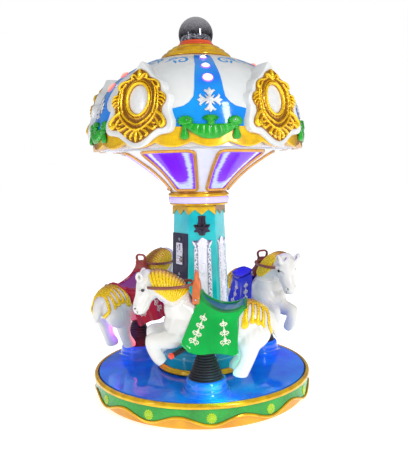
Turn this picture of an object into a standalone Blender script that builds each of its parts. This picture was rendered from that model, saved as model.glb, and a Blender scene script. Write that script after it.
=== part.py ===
# Three-horse mini carousel: a fixed base, column and canopy, and a turning deck
# that carries three horses on rubber bellows. Metres, +Z up, the origin on the
# floor under the middle of the column.

import math
from math import cos, sin, pi, radians

import bmesh
import bpy
from mathutils import Matrix, Vector

# Driving dimensions
PLINTH_RADIUS = 0.655
SKIRT_RADIUS = 0.668
SKIRT_FLARE = 0.012
SKIRT_TOP = 0.121
WAVE_TURN = radians(-2.3)
WAVE_MIDDLE = 0.048
WAVE_HEIGHT = 0.020
WAVES = 12
RIM_RADIUS = 0.671
DECK_RADIUS = 0.651
DECK_TOP = 0.155
DECK_THICKNESS = 0.030
DECK_HOLE = 0.262
HUB_RADIUS = 0.254
HUB_TOP = 0.285
HUB_RING_RADIUS = 0.272
SLEW_RING_RADIUS = 0.330
COLUMN_FOOT = 0.194
COLUMN_HEAD = 0.158
COLUMN_TOP = 1.176
CROWN_DEPTH = 0.058
CAPITAL_RADIUS = 0.187
CAPITAL_TOP = 1.264
FUNNEL_LINE = ((0.174, 1.264), (0.212, 1.306), (0.262, 1.357),
               (0.321, 1.406), (0.394, 1.456), (0.476, 1.507))
FUNNEL_WALL = 0.012
CANOPY_RADIUS = 0.632
CANOPY_EDGE = 1.512
CANOPY_BAND_TOP = 1.619
DOME_TOP = (0.212, 2.064)
SHIELD_REACH = 0.6575
SHIELD_TILT = radians(8.9)
SHIELD_DEPTH = 0.24
SHIELD_LOW = 1.514
SHIELD_EDGE = ((0.000, 1.968), (0.050, 1.920), (0.082, 1.894), (0.128, 1.866), (0.150, 1.836), (0.156, 1.808),
               (0.188, 1.790), (0.194, 1.755), (0.185, 1.728), (0.196, 1.690), (0.214, 1.650), (0.213, 1.612),
               (0.192, 1.588), (0.130, 1.579), (0.098, 1.560), (0.058, 1.529), (0.030, 1.517),
               (0.000, SHIELD_LOW))
FRAME_EDGE = ((0.000, 1.937), (0.046, 1.914), (0.064, 1.888), (0.110, 1.872), (0.130, 1.850), (0.136, 1.808),
              (0.164, 1.794), (0.174, 1.766), (0.167, 1.744), (0.150, 1.728), (0.148, 1.698), (0.162, 1.680),
              (0.182, 1.652), (0.184, 1.626), (0.162, 1.611), (0.126, 1.613), (0.096, 1.593), (0.056, 1.563),
              (0.022, 1.544), (0.000, 1.539))
MIRROR_MIDDLE = 1.772
MIRROR_HALF_WIDTH = 0.061
MIRROR_HALF_HEIGHT = 0.077
CAP_RADIUS = 0.199
BALL_RADIUS = 0.105
BALL_CENTRE = 2.218
SIDES = 6
BAYS = 5
HORSES = 3
HORSE_CIRCLE = 0.477
TURNTABLE_REST = radians(-3.6)
HORSE_HEADING = radians(-7.5)
HORSE_RISE = (0.0, 0.018, 0.0)
MOUND_RADIUS = 0.116
MOUND_TOP = 0.234
BELLOWS_FOOT = 0.099
BELLOWS_HEAD = 0.038
BELLOWS_RIDGES = 7
BELLY = 0.400
TOUCH = 0.0003
RELIEF = 0.0006
LIP_GAP = 0.0008
RUNNING_GAP = 0.006
ROUND_STEPS = 60
WAVE_STEPS = 72

for thing in list(bpy.data.objects):
    bpy.data.objects.remove(thing)


def finish(name, colour, roughness, metallic=0.0):
    """A plain material of one colour (sRGB bytes)."""
    material = bpy.data.materials.new(name)
    material.use_nodes = True
    shader = material.node_tree.nodes["Principled BSDF"]
    linear = [(part / 255.0) ** 2.2 for part in colour]
    shader.inputs["Base Color"].default_value = (*linear, 1.0)
    shader.inputs["Roughness"].default_value = roughness
    shader.inputs["Metallic"].default_value = metallic
    return material


GOLD = ("gold_paint", (205, 150, 20), 0.3, 0.3)
YELLOW = ("yellow_gelcoat", (240, 190, 10), 0.25)
WHITE = ("white_gelcoat", (232, 234, 230), 0.2)


def place(name, mesh, material, parent=None):
    """An object for one sub-part."""
    thing = bpy.data.objects.new(name, mesh)
    bpy.context.collection.objects.link(thing)
    if not mesh.materials:
        mesh.materials.append(finish(*material))
    thing.parent = parent
    return thing


def smooth_mesh(name, build, angle=35.0):
    """A mesh from a bmesh, with its faces pointing out and its round parts smooth."""
    bmesh.ops.recalc_face_normals(build, faces=build.faces)
    if build.calc_volume(signed=True) < 0.0:
        bmesh.ops.reverse_faces(build, faces=build.faces)
    mesh = bpy.data.meshes.new(name)
    build.to_mesh(mesh)
    build.free()
    mesh.shade_smooth()
    mesh.set_sharp_from_angle(angle=radians(angle))
    return mesh


def turned(profile, steps=ROUND_STEPS, shape=None):
    """A closed body turned about Z. Profile points (radius, z) run round the section;
    a profile that starts and ends on the axis is a solid. shape(angle, r, z) bends it."""
    build = bmesh.new()
    rings = []
    for radius, height in profile:
        if radius == 0.0:
            rings.append([build.verts.new((0.0, 0.0, height))])
            continue
        ring = []
        for step in range(steps):
            angle = 2.0 * pi * step / steps
            r, z = shape(angle, radius, height) if shape else (radius, height)
            ring.append(build.verts.new((r * sin(angle), -r * cos(angle), z)))
        rings.append(ring)
    closed = profile[0][0] > 0.0
    pairs = zip(rings, rings[1:] + rings[:1]) if closed else zip(rings, rings[1:])
    for low, high in pairs:
        for step in range(steps):
            after = (step + 1) % steps
            corners = [low[step % len(low)], low[after % len(low)],
                       high[after % len(high)], high[step % len(high)]]
            build.faces.new(list(dict.fromkeys(corners)))
    return build


def extruded(outline, depth, slope=0.0):
    """A prism: the outline (x, z) pushed from y = 0 to y = depth, rising by the slope."""
    build = bmesh.new()
    front = [build.verts.new((x, 0.0, z)) for x, z in outline]
    back = [build.verts.new((x, depth, z + slope * depth)) for x, z in outline]
    build.faces.new(front)
    build.faces.new(back[::-1])
    count = len(outline)
    for index in range(count):
        after = (index + 1) % count
        build.faces.new([front[index], back[index], back[after], front[after]])
    return build


def lofted(build, sections):
    """A closed tube through rings of points, with its two ends capped."""
    rings = [[build.verts.new(point) for point in section] for section in sections]
    count = len(rings[0])
    for low, high in zip(rings, rings[1:]):
        for index in range(count):
            after = (index + 1) % count
            build.faces.new([low[index], low[after], high[after], high[index]])
    build.faces.new(rings[0][::-1])
    build.faces.new(rings[-1])


def limb(build, stations, steps=12):
    """A tube with oval sections. A station is (x, y, z, half depth, half width): the
    depth lies in the horse's own plane, across the limb, and the width along y."""
    centres = [Vector(station[:3]) for station in stations]
    sections = []
    for index, station in enumerate(stations):
        before = centres[max(index - 1, 0)]
        after = centres[min(index + 1, len(centres) - 1)]
        along = (after - before).normalized()
        across = Vector((0.0, 1.0, 0.0))
        across = (across - across.dot(along) * along).normalized()
        deep = along.cross(across)
        ring = []
        for step in range(steps):
            angle = 2.0 * pi * step / steps
            offset = deep * (station[3] * cos(angle)) + across * (station[4] * sin(angle))
            ring.append(centres[index] + offset)
        sections.append(ring)
    lofted(build, sections)


def evaluated(thing):
    """The mesh of an object with its modifiers applied, as a new mesh."""
    graph = bpy.context.evaluated_depsgraph_get()
    return bpy.data.meshes.new_from_object(thing.evaluated_get(graph))


def carved(mesh, cutters, operation="DIFFERENCE"):
    """A mesh less (or with) others, by exact Booleans."""
    blank = bpy.data.objects.new("blank", mesh)
    bpy.context.collection.objects.link(blank)
    tools = []
    for cutter in cutters:
        tool = bpy.data.objects.new("tool", cutter)
        bpy.context.collection.objects.link(tool)
        modifier = blank.modifiers.new("cut", "BOOLEAN")
        modifier.solver = "EXACT"
        modifier.operation = operation
        modifier.object = tool
        tools.append(tool)
    result = evaluated(blank)
    for thing in tools + [blank]:
        bpy.data.objects.remove(thing)
    return result


def grown(mesh, distance):
    """A copy of a mesh, moved out along its normals."""
    build = bmesh.new()
    build.from_mesh(mesh)
    build.normal_update()
    moves = [(vertex, vertex.normal * distance) for vertex in build.verts]
    for vertex, move in moves:
        vertex.co += move
    copy = bpy.data.meshes.new("grown")
    build.to_mesh(copy)
    build.free()
    return copy


# Fixed base: a tub that stands on the floor, with a wavy green skirt hung on it
def wave(angle):
    return WAVE_MIDDLE - WAVE_HEIGHT * cos(WAVES * (angle - WAVE_TURN))


def skirt_radius(height):
    return SKIRT_RADIUS + SKIRT_FLARE * (SKIRT_TOP - height) / SKIRT_TOP


plinth_floor = 0.025
plinth_inside = PLINTH_RADIUS - 0.030
plinth = turned([(0.0, 0.0), (PLINTH_RADIUS, 0.0), (PLINTH_RADIUS, SKIRT_TOP),
                 (plinth_inside, SKIRT_TOP), (plinth_inside, plinth_floor), (0.0, plinth_floor)], WAVE_STEPS)
place("base_plinth", smooth_mesh("base_plinth", plinth), YELLOW)

lip_height = 0.016
lip_depth = 0.009
skirt_inside = PLINTH_RADIUS + TOUCH
skirt = turned([(skirt_inside, 0.0), (SKIRT_RADIUS, 0.0), (SKIRT_RADIUS, SKIRT_TOP),
                (skirt_inside, SKIRT_TOP)], WAVE_STEPS,
               lambda angle, r, z: (r, z) if z else
               (r if r < SKIRT_RADIUS else skirt_radius(wave(angle)), wave(angle) + lip_height))
place("base_skirt", smooth_mesh("base_skirt", skirt), ("green_gelcoat", (10, 175, 40), 0.25))

lip_top = lip_height - LIP_GAP
lip_edge = SKIRT_RADIUS + 0.6 * lip_depth
lip = turned([(skirt_inside, 0.0), (lip_edge, 0.0), (SKIRT_RADIUS + lip_depth, 0.35 * lip_height),
              (lip_edge, lip_top), (skirt_inside, lip_top)], WAVE_STEPS,
             lambda angle, r, z: (r if r < SKIRT_RADIUS else r + skirt_radius(wave(angle)) - SKIRT_RADIUS,
                                  wave(angle) + z))
place("base_lip", smooth_mesh("base_lip", lip), GOLD)

rim_inside = DECK_RADIUS + RUNNING_GAP
rim_low = SKIRT_TOP + TOUCH
rim = turned([(rim_inside, rim_low), (RIM_RADIUS, rim_low), (RIM_RADIUS + 0.011, rim_low + 0.008),
              (RIM_RADIUS + 0.012, rim_low + 0.019), (RIM_RADIUS + 0.004, rim_low + 0.030),
              (RIM_RADIUS - 0.007, rim_low + 0.033), (rim_inside, rim_low + 0.029)])
place("base_rim", smooth_mesh("base_rim", rim), GOLD)

# The turntable's bearing, hidden under the deck that it carries
slew_inside = SLEW_RING_RADIUS - 0.02
slew_low = plinth_floor + TOUCH
slew_top = DECK_TOP - DECK_THICKNESS - TOUCH
slew_ring = turned([(slew_inside, slew_low), (SLEW_RING_RADIUS, slew_low),
                    (SLEW_RING_RADIUS, slew_top), (slew_inside, slew_top)], 24)
place("slew_ring", smooth_mesh("slew_ring", slew_ring), ("steel", (150, 150, 150), 0.4, 1.0))

# Hub: the drum that the column stands on, and the gold ring at its foot
drum = turned([(0.0, plinth_floor + TOUCH), (HUB_RADIUS, plinth_floor + TOUCH), (HUB_RADIUS, HUB_TOP - 0.03),
               (HUB_RADIUS - 0.03, HUB_TOP), (0.0, HUB_TOP)], 36)
place("hub_drum", smooth_mesh("hub_drum", drum), ("teal_gelcoat", (20, 150, 180), 0.2))
ring_low = DECK_TOP + RUNNING_GAP
hub_ring = turned([(HUB_RADIUS + TOUCH, ring_low), (HUB_RING_RADIUS + 0.008, ring_low),
                   (HUB_RING_RADIUS + 0.010, ring_low + 0.010), (HUB_RING_RADIUS, ring_low + 0.017),
                   (HUB_RING_RADIUS - 0.006, ring_low + 0.026), (HUB_RADIUS + TOUCH, ring_low + 0.030)], 36)
place("hub_ring", smooth_mesh("hub_ring", hub_ring), GOLD)

# Column: a tapered six-sided post with a face to the front
column_foot_z = HUB_TOP + TOUCH


def column_radius(height):
    """The corner radius of the column at a height."""
    share = (height - column_foot_z) / (COLUMN_TOP - column_foot_z)
    return COLUMN_FOOT + (COLUMN_HEAD - COLUMN_FOOT) * share


def corner(radius, index, height):
    angle = pi / SIDES + index * 2.0 * pi / SIDES
    return Vector((radius * sin(angle), -radius * cos(angle), height))


column = bmesh.new()
lofted(column, [[corner(column_radius(z), index, z) for index in range(SIDES)]
                for z in (column_foot_z, COLUMN_TOP)])
place("column", smooth_mesh("column", column, 20.0), ("turquoise_gelcoat", (0, 185, 190), 0.2))

# The crown is a ring with a saw-toothed lower edge: a tooth on each corner and one between
crown_thickness = 0.006
teeth = 2
crown = bmesh.new()
crown_loops = [[], [], [], []]
for index in range(SIDES):
    for step in range(2 * teeth):
        share = step / (2.0 * teeth)
        low = COLUMN_TOP - CROWN_DEPTH * (0.45 if step % 2 else 1.0)
        for loop, height, gap in zip(crown_loops, (low, COLUMN_TOP, COLUMN_TOP, low),
                                     (crown_thickness, crown_thickness, TOUCH, TOUCH)):
            radius = column_radius(height) + gap / cos(pi / SIDES)
            here = corner(radius, index, height).lerp(corner(radius, index + 1, height), share)
            loop.append(crown.verts.new(here))
for one, other in zip(crown_loops, crown_loops[1:] + crown_loops[:1]):
    for index in range(len(one)):
        after = (index + 1) % len(one)
        crown.faces.new([one[index], one[after], other[after], other[index]])
place("column_crown", smooth_mesh("column_crown", crown, 20.0), YELLOW)

# Coin panel: a plate let on to the face to the left of the front, with the coin
# mechanism's plate on it
panel_low = 0.650
panel_high = 1.008
panel_depth = 0.006


def face_point(face, across, height, out):
    """A point on a column face: across it from its middle, at a height, out from it."""
    apothem = column_radius(height) * cos(pi / SIDES) + out
    angle = face * 2.0 * pi / SIDES
    outward = Vector((sin(angle), -cos(angle), 0.0))
    sideways = Vector((cos(angle), sin(angle), 0.0))
    return outward * apothem + sideways * across + Vector((0.0, 0.0, height))


def face_plate(face, low, high, half_width, inner, outer):
    """A flat plate on a column face, half_width as a share of the face's half width."""
    build = bmesh.new()
    loops = []
    for out in (inner, outer):
        loop = []
        for side, height in ((-1, low), (1, low), (1, high), (-1, high)):
            half = column_radius(height) * sin(pi / SIDES) * half_width
            loop.append(build.verts.new(face_point(face, side * half, height, out)))
        loops.append(loop)
    build.faces.new(loops[0][::-1])
    build.faces.new(loops[1])
    for index in range(4):
        after = (index + 1) % 4
        build.faces.new([loops[0][index], loops[0][after], loops[1][after], loops[1][index]])
    return build


panel = face_plate(-1, panel_low, panel_high, 0.94, TOUCH, panel_depth)
place("coin_panel", smooth_mesh("coin_panel", panel), ("indigo_enamel", (35, 25, 90), 0.3))
coin_plate = face_plate(-1, 0.815, 0.950, 0.40, panel_depth + TOUCH, panel_depth + 0.008)
place("coin_plate", smooth_mesh("coin_plate", coin_plate), ("chrome", (200, 200, 205), 0.15, 1.0))

# Capital: a gold turning, with a white light band let into its waist
capital_low = COLUMN_TOP + TOUCH
band_low = COLUMN_TOP + 0.017
band_top = 1.232
waist = 0.168
neck = 0.176
capital_steps = 40
capital = turned([(0.0, capital_low), (0.162, capital_low), (0.178, capital_low + 0.010),
                  (0.181, band_low - TOUCH), (waist, band_low - TOUCH), (waist, band_top + TOUCH),
                  (CAPITAL_RADIUS, band_top + TOUCH), (CAPITAL_RADIUS + 0.003, band_top + 0.010),
                  (CAPITAL_RADIUS - 0.001, band_top + 0.020), (neck, band_top + 0.025),
                  (neck, CAPITAL_TOP - TOUCH), (0.0, CAPITAL_TOP - TOUCH)], capital_steps)
place("capital", smooth_mesh("capital", capital), GOLD)
band_edge = CAPITAL_RADIUS - 0.001
band_face = CAPITAL_RADIUS + 0.001
light_band = turned([(waist + TOUCH, band_low), (band_edge, band_low), (band_face, band_low + 0.004),
                     (band_face, band_top - 0.004), (band_edge, band_top), (waist + TOUCH, band_top)],
                    capital_steps)
place("capital_light_band", smooth_mesh("light_band", light_band), ("lit_acrylic", (250, 250, 255), 0.3))

# Funnel: a white trumpet-shaped frame with six windows, over a lit inner cone
window_gap = radians(8.7)
window_low = 0.06
window_high = 0.93
cone_steps = 36


def funnel_point(share, inward=0.0):
    """A point (radius, z) up the funnel's line, moved in by a distance."""
    place_on = share * (len(FUNNEL_LINE) - 1)
    index = min(int(place_on), len(FUNNEL_LINE) - 2)
    low, high = Vector(FUNNEL_LINE[index]), Vector(FUNNEL_LINE[index + 1])
    here = low.lerp(high, place_on - index)
    before = Vector(FUNNEL_LINE[max(index - 1, 0)])
    after = Vector(FUNNEL_LINE[min(index + 2, len(FUNNEL_LINE) - 1)])
    arriving = low - before if index else high - low
    leaving = after - high if after != high else high - low
    along = arriving.lerp(leaving, place_on - index).normalized()
    return here.x - inward * along.y, here.y + inward * along.x


frame_shares = [step / 5.0 for step in range(6)]
frame = turned([funnel_point(share) for share in frame_shares]
               + [funnel_point(share, FUNNEL_WALL) for share in reversed(frame_shares)], cone_steps)
windows = bmesh.new()
window_steps = 7
window_shares = [window_low + (window_high - window_low) * step / 4.0 for step in range(5)]
for index in range(SIDES):
    sections = []
    for step in range(window_steps):
        span = 2.0 * pi / SIDES - 2.0 * window_gap
        angle = pi / SIDES + index * 2.0 * pi / SIDES + span * (step / (window_steps - 1.0) - 0.5)
        edge = [funnel_point(share, -0.02) for share in window_shares]
        edge += [funnel_point(share, FUNNEL_WALL + 0.02) for share in reversed(window_shares)]
        sections.append([Vector((r * sin(angle), -r * cos(angle), z)) for r, z in edge])
    lofted(windows, sections)
frame_mesh = carved(smooth_mesh("funnel_frame", frame), [smooth_mesh("windows", windows)])
place("funnel_frame", frame_mesh, WHITE)
glow = FUNNEL_WALL + TOUCH
lamp_cone = turned([(0.0, CAPITAL_TOP)] + [funnel_point(share, glow) for share in frame_shares]
                   + [(0.0, funnel_point(1.0, glow)[1])], cone_steps)
place("lamp_cone", smooth_mesh("lamp_cone", lamp_cone), ("purple_lens", (120, 70, 255), 0.25))

# Canopy: a dome with a gabled shield moulded into it between each two bays
ceiling = funnel_point(1.0, glow)[1] + TOUCH
dome_floor = ceiling - 0.001
dome_edge = CANOPY_BAND_TOP + 0.001
dome_inside = CANOPY_RADIUS - 0.022
dome_profile = [(0.0, dome_floor), (dome_inside, dome_floor), (dome_inside, dome_edge),
                (CANOPY_RADIUS, dome_edge),
                (0.624, 1.690), (0.603, 1.770), (0.560, 1.850), (0.495, 1.922), (0.405, 1.984),
                (0.300, 2.036), DOME_TOP, (0.0, DOME_TOP[1])]
dome = smooth_mesh("roof_dome", turned(dome_profile, 48))


def mirrored(edge):
    """A closed outline (x, z) from its right-hand half, top to bottom."""
    return list(edge) + [(-x, z) for x, z in edge[1:-1][::-1]]


def shield_frame(index, reach):
    """Moves a piece made facing -Y at y = 0 to its side of the canopy, leaning in."""
    turn = Matrix.Rotation(pi / BAYS + index * 2.0 * pi / BAYS, 4, "Z")
    lift = Matrix.Translation((0.0, -reach, SHIELD_LOW))
    lean = Matrix.Rotation(-SHIELD_TILT, 4, "X")
    drop = Matrix.Translation((0.0, 0.0, -SHIELD_LOW))
    return turn @ lift @ lean @ drop


shields = []
for index in range(BAYS):
    gable = extruded(mirrored(SHIELD_EDGE), SHIELD_DEPTH, math.tan(SHIELD_TILT))
    bmesh.ops.transform(gable, matrix=shield_frame(index, SHIELD_REACH), verts=gable.verts)
    shields.append(smooth_mesh("shield", gable, 20.0))

# Valance: the band at the canopy's edge, scalloped below, moulded in one with the dome
scallops = 4 * BAYS
scallop_depth = 0.020


def scallop(angle):
    return CANOPY_EDGE + scallop_depth * (1.0 - abs(cos(0.5 * scallops * angle)))


valance_inside = CANOPY_RADIUS - 0.028
valance = turned([(valance_inside, 0.0), (CANOPY_RADIUS + 0.002, 0.0),
                  (CANOPY_RADIUS + 0.004, CANOPY_BAND_TOP),
                  (valance_inside, CANOPY_BAND_TOP + 0.01)], 4 * scallops,
                 lambda angle, r, z: (r, z) if z else (r, scallop(angle)))
roof = carved(dome, [smooth_mesh("valance", valance)] + shields, "UNION")
under = turned([(0.0, CANOPY_EDGE - 0.1), (valance_inside - 0.002, CANOPY_EDGE - 0.1),
                (valance_inside - 0.002, ceiling), (0.0, ceiling)], 4 * scallops)
roof = carved(roof, [smooth_mesh("under", under)])
place("roof_dome", roof, WHITE)

# Cap: a stepped gold cap, an orange collar and the mirror ball
cap_low = DOME_TOP[1] + TOUCH
cap_height = 0.079
cap_steps = ((CAP_RADIUS + 0.016, 0.0), (CAP_RADIUS + 0.018, 0.008), (CAP_RADIUS, 0.030), (0.180, 0.036),
             (0.172, 0.054), (0.150, 0.060), (0.140, 0.074), (0.100, cap_height))
cap = turned([(0.0, cap_low)] + [(radius, cap_low + rise) for radius, rise in cap_steps]
             + [(0.0, cap_low + cap_height)], 36)
place("roof_cap", smooth_mesh("roof_cap", cap), GOLD)
collar_low = cap_low + cap_height + TOUCH
collar_top = 2.172
ball_foot = 2.151
seat_heights = [ball_foot + (collar_top - ball_foot) * step / 2.0 for step in range(3)]


def ball_radius(height):
    return math.sqrt(max(BALL_RADIUS ** 2 - (height - BALL_CENTRE) ** 2, 0.0))


ball_steps = 28
collar_profile = [(0.0, collar_low), (0.114, collar_low), (0.112, collar_low + 0.006),
                  (0.096, collar_low + 0.012)]
collar_profile += [(ball_radius(height) + 2.0 * TOUCH, height) for height in seat_heights[::-1]]
collar_profile.append((0.0, ball_foot))
collar = smooth_mesh("ball_collar", turned(collar_profile, ball_steps))
place("ball_collar", collar, ("orange_gelcoat", (235, 95, 35), 0.25))
ball_profile = [(0.0, ball_foot + TOUCH)]
ball_profile += [(ball_radius(height), height + TOUCH) for height in seat_heights]
ball_rings = 7
for step in range(ball_rings):
    angle = radians(-15.0) + radians(105.0) * step / ball_rings
    ball_profile.append((BALL_RADIUS * cos(angle), BALL_CENTRE + BALL_RADIUS * sin(angle)))
ball_profile.append((0.0, BALL_CENTRE + BALL_RADIUS))
ball = smooth_mesh("mirror_ball", turned(ball_profile, ball_steps), 60.0)
place("mirror_ball", ball, ("mirror_chrome", (210, 212, 215), 0.03, 1.0))

# Cartouche frames: gold carved frames on the shields, each with an oval opening for
# a mirror
frame_thickness = 0.018
oval_steps = 16
for index in range(BAYS):
    seat_place = shield_frame(index, SHIELD_REACH + TOUCH)
    piece = extruded(mirrored(FRAME_EDGE), -frame_thickness)
    bmesh.ops.transform(piece, matrix=seat_place, verts=piece.verts)
    turns = [2.0 * pi * step / oval_steps for step in range(oval_steps)]
    oval = [(MIRROR_HALF_WIDTH * sin(turn), MIRROR_MIDDLE + MIRROR_HALF_HEIGHT * cos(turn)) for turn in turns]
    hole = extruded(oval, -0.1)
    bmesh.ops.transform(hole, matrix=seat_place @ Matrix.Translation((0.0, 0.05, 0.0)), verts=hole.verts)
    cut_frame = carved(smooth_mesh("cartouche", piece, 20.0), [smooth_mesh("oval", hole, 20.0)])
    place("cartouche_%d" % (index + 1), cut_frame, GOLD)

# Turntable: the deck with its three moulded mounds. Its parent is on its axis.
turntable = bpy.data.objects.new("turntable_axis", None)
bpy.context.collection.objects.link(turntable)
turntable.rotation_euler = (0.0, 0.0, TURNTABLE_REST)
deck_low = DECK_TOP - DECK_THICKNESS
deck = smooth_mesh("deck", turned([(DECK_HOLE, deck_low), (DECK_RADIUS, deck_low),
                                   (DECK_RADIUS, DECK_TOP - 0.006), (DECK_RADIUS - 0.010, DECK_TOP),
                                   (DECK_HOLE, DECK_TOP)]))
mound_foot = MOUND_RADIUS + 0.012
mounds = []
for index in range(HORSES):
    angle = index * 2.0 * pi / HORSES
    mound = turned([(0.0, deck_low + 0.01), (mound_foot, deck_low + 0.01), (mound_foot, DECK_TOP),
                    (MOUND_RADIUS + 0.004, DECK_TOP + 0.030), (MOUND_RADIUS, DECK_TOP + 0.040),
                    (MOUND_RADIUS - 0.002, MOUND_TOP - 0.014), (MOUND_RADIUS - 0.012, MOUND_TOP),
                    (0.0, MOUND_TOP)], 24)
    centre = Matrix.Translation((HORSE_CIRCLE * sin(angle), -HORSE_CIRCLE * cos(angle), 0.0))
    bmesh.ops.transform(mound, matrix=centre, verts=mound.verts)
    mounds.append(smooth_mesh("mound", mound))
place("deck", carved(deck, mounds, "UNION"), ("blue_gelcoat", (30, 110, 230), 0.12), turntable)

# Horse body: trunk, neck, head, legs, ears and tail, in the horse's own frame, with
# x forward, y to the horse's left and z from the floor
horse = bmesh.new()
limb(horse, [(-0.368, 0.0, 0.522, 0.026, 0.030), (-0.345, 0.0, 0.528, 0.062, 0.070),
             (-0.298, 0.0, 0.548, 0.092, 0.100), (-0.233, 0.0, 0.558, 0.112, 0.114),
             (-0.180, 0.0, 0.519, 0.096, 0.114), (-0.119, 0.0, 0.503, 0.094, 0.114),
             (0.000, 0.0, 0.503, 0.094, 0.114),
             (0.090, 0.0, 0.537, 0.118, 0.114), (0.161, 0.0, 0.540, 0.106, 0.104),
             (0.205, 0.0, 0.540, 0.074, 0.078), (0.228, 0.0, 0.540, 0.028, 0.034)])
neck_stations = [(0.085, 0.0, 0.572, 0.112, 0.106), (0.136, 0.0, 0.631, 0.097, 0.102),
                 (0.153, 0.0, 0.688, 0.074, 0.094), (0.181, 0.0, 0.721, 0.077, 0.089),
                 (0.223, 0.0, 0.749, 0.077, 0.083), (0.267, 0.0, 0.768, 0.074, 0.074),
                 (0.314, 0.0, 0.782, 0.056, 0.058)]
limb(horse, neck_stations)
limb(horse, [(0.306, 0.0, 0.852, 0.024, 0.034), (0.318, 0.0, 0.828, 0.050, 0.054),
             (0.326, 0.0, 0.784, 0.059, 0.060), (0.331, 0.0, 0.738, 0.064, 0.059),
             (0.345, 0.0, 0.692, 0.055, 0.050), (0.359, 0.0, 0.648, 0.049, 0.041),
             (0.364, 0.0, 0.620, 0.046, 0.038), (0.360, 0.0, 0.595, 0.028, 0.029)])
for side, forward, lift in ((1.0, 0.0, 0.0), (-1.0, 0.018, 0.016)):
    limb(horse, [(0.111 + forward, side * 0.052, 0.516, 0.064, 0.044),
                 (0.181 + forward, side * 0.068, 0.471 + lift, 0.056, 0.042),
                 (0.247 + forward, side * 0.071, 0.462 + lift, 0.045, 0.037),
                 (0.294 + forward, side * 0.071, 0.460 + lift, 0.040, 0.035),
                 (0.311 + forward, side * 0.071, 0.450 + lift, 0.024, 0.025)])
    limb(horse, [(0.300 + forward, side * 0.071, 0.480 + lift, 0.032, 0.031),
                 (0.291 + forward, side * 0.071, 0.438 + lift, 0.040, 0.035),
                 (0.271 + forward, side * 0.071, 0.394 + lift, 0.039, 0.033),
                 (0.249 + forward, side * 0.071, 0.358 + lift, 0.035, 0.034),
                 (0.231 + forward, side * 0.071, 0.338 + lift, 0.028, 0.028)])
for side, forward in ((1.0, 0.0), (-1.0, 0.024)):
    limb(horse, [(-0.280, side * 0.042, 0.565, 0.078, 0.054), (-0.275, side * 0.058, 0.505, 0.088, 0.056),
                 (-0.249 + forward, side * 0.064, 0.442, 0.066, 0.049),
                 (-0.240 + forward, side * 0.064, 0.380, 0.045, 0.037),
                 (-0.221 + forward, side * 0.064, 0.325, 0.039, 0.034),
                 (-0.195 + forward, side * 0.064, 0.280, 0.044, 0.038),
                 (-0.191 + forward, side * 0.064, 0.262, 0.039, 0.035)])
limb(horse, [(-0.335, 0.0, 0.596, 0.020, 0.026), (-0.362, 0.0, 0.572, 0.023, 0.032),
             (-0.376, 0.0, 0.530, 0.024, 0.032), (-0.388, 0.0, 0.490, 0.018, 0.023),
             (-0.398, 0.0, 0.464, 0.010, 0.012)], 8)
for side in (1.0, -1.0):
    limb(horse, [(0.311, side * 0.046, 0.816, 0.018, 0.016), (0.326, side * 0.056, 0.840, 0.020, 0.014),
                 (0.347, side * 0.066, 0.862, 0.010, 0.010)], 8)
carving = place("horse_form", smooth_mesh("horse_form", horse), WHITE)
voxels = carving.modifiers.new("one skin", "REMESH")
voxels.mode = "VOXEL"
voxels.voxel_size = 0.0075
relax = carving.modifiers.new("soften", "SMOOTH")
relax.factor = 0.5
relax.iterations = 5
fewer = carving.modifiers.new("fewer faces", "DECIMATE")
fewer.ratio = 0.021
horse_skin = evaluated(carving)
bpy.data.objects.remove(carving)


# Foot pegs: one bent bar that passes through the belly, with a peg on each side
def rod(path, radius, sides):
    """A round rod through points."""
    points = [Vector(point) for point in path]
    sections = []
    for index, centre in enumerate(points):
        along = (points[min(index + 1, len(points) - 1)] - points[max(index - 1, 0)]).normalized()
        aside = along.cross(Vector((0.0, 0.0, 1.0))).normalized()
        above = aside.cross(along)
        turns = [2.0 * pi * side / sides for side in range(sides)]
        sections.append([centre + radius * (aside * cos(turn) + above * sin(turn)) for turn in turns])
    build = bmesh.new()
    lofted(build, sections)
    return build


peg_end = (0.187, 0.190, 0.412)
peg_root = (0.112, 0.095, 0.421)
peg_path = [peg_end, peg_root] + [(x, -y, z) for x, y, z in (peg_root, peg_end)]
pegs_mesh = smooth_mesh("foot_pegs", rod(peg_path, 0.012, 10), 50.0)
boss_radius = 0.048
boss_top = BELLY + 0.06
boss = turned([(0.0, BELLY), (boss_radius, BELLY), (boss_radius, boss_top), (0.0, boss_top)], 20)
horse_body = carved(horse_skin, [smooth_mesh("boss", boss)], "UNION")
horse_body = carved(horse_body, [grown(pegs_mesh, RELIEF)])
horse_body.shade_smooth()
horse_relief = grown(horse_body, RELIEF)

# Saddle: a dished seat, narrow at the raised pommel and wide at the cantle, moulded in
# one with a blanket that flares to its hem
saddle_steps = 9
saddle_front = 0.018
saddle_back = -0.226
hem_front = 0.138
hem_back = -0.166
flare_top = 0.630


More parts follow.
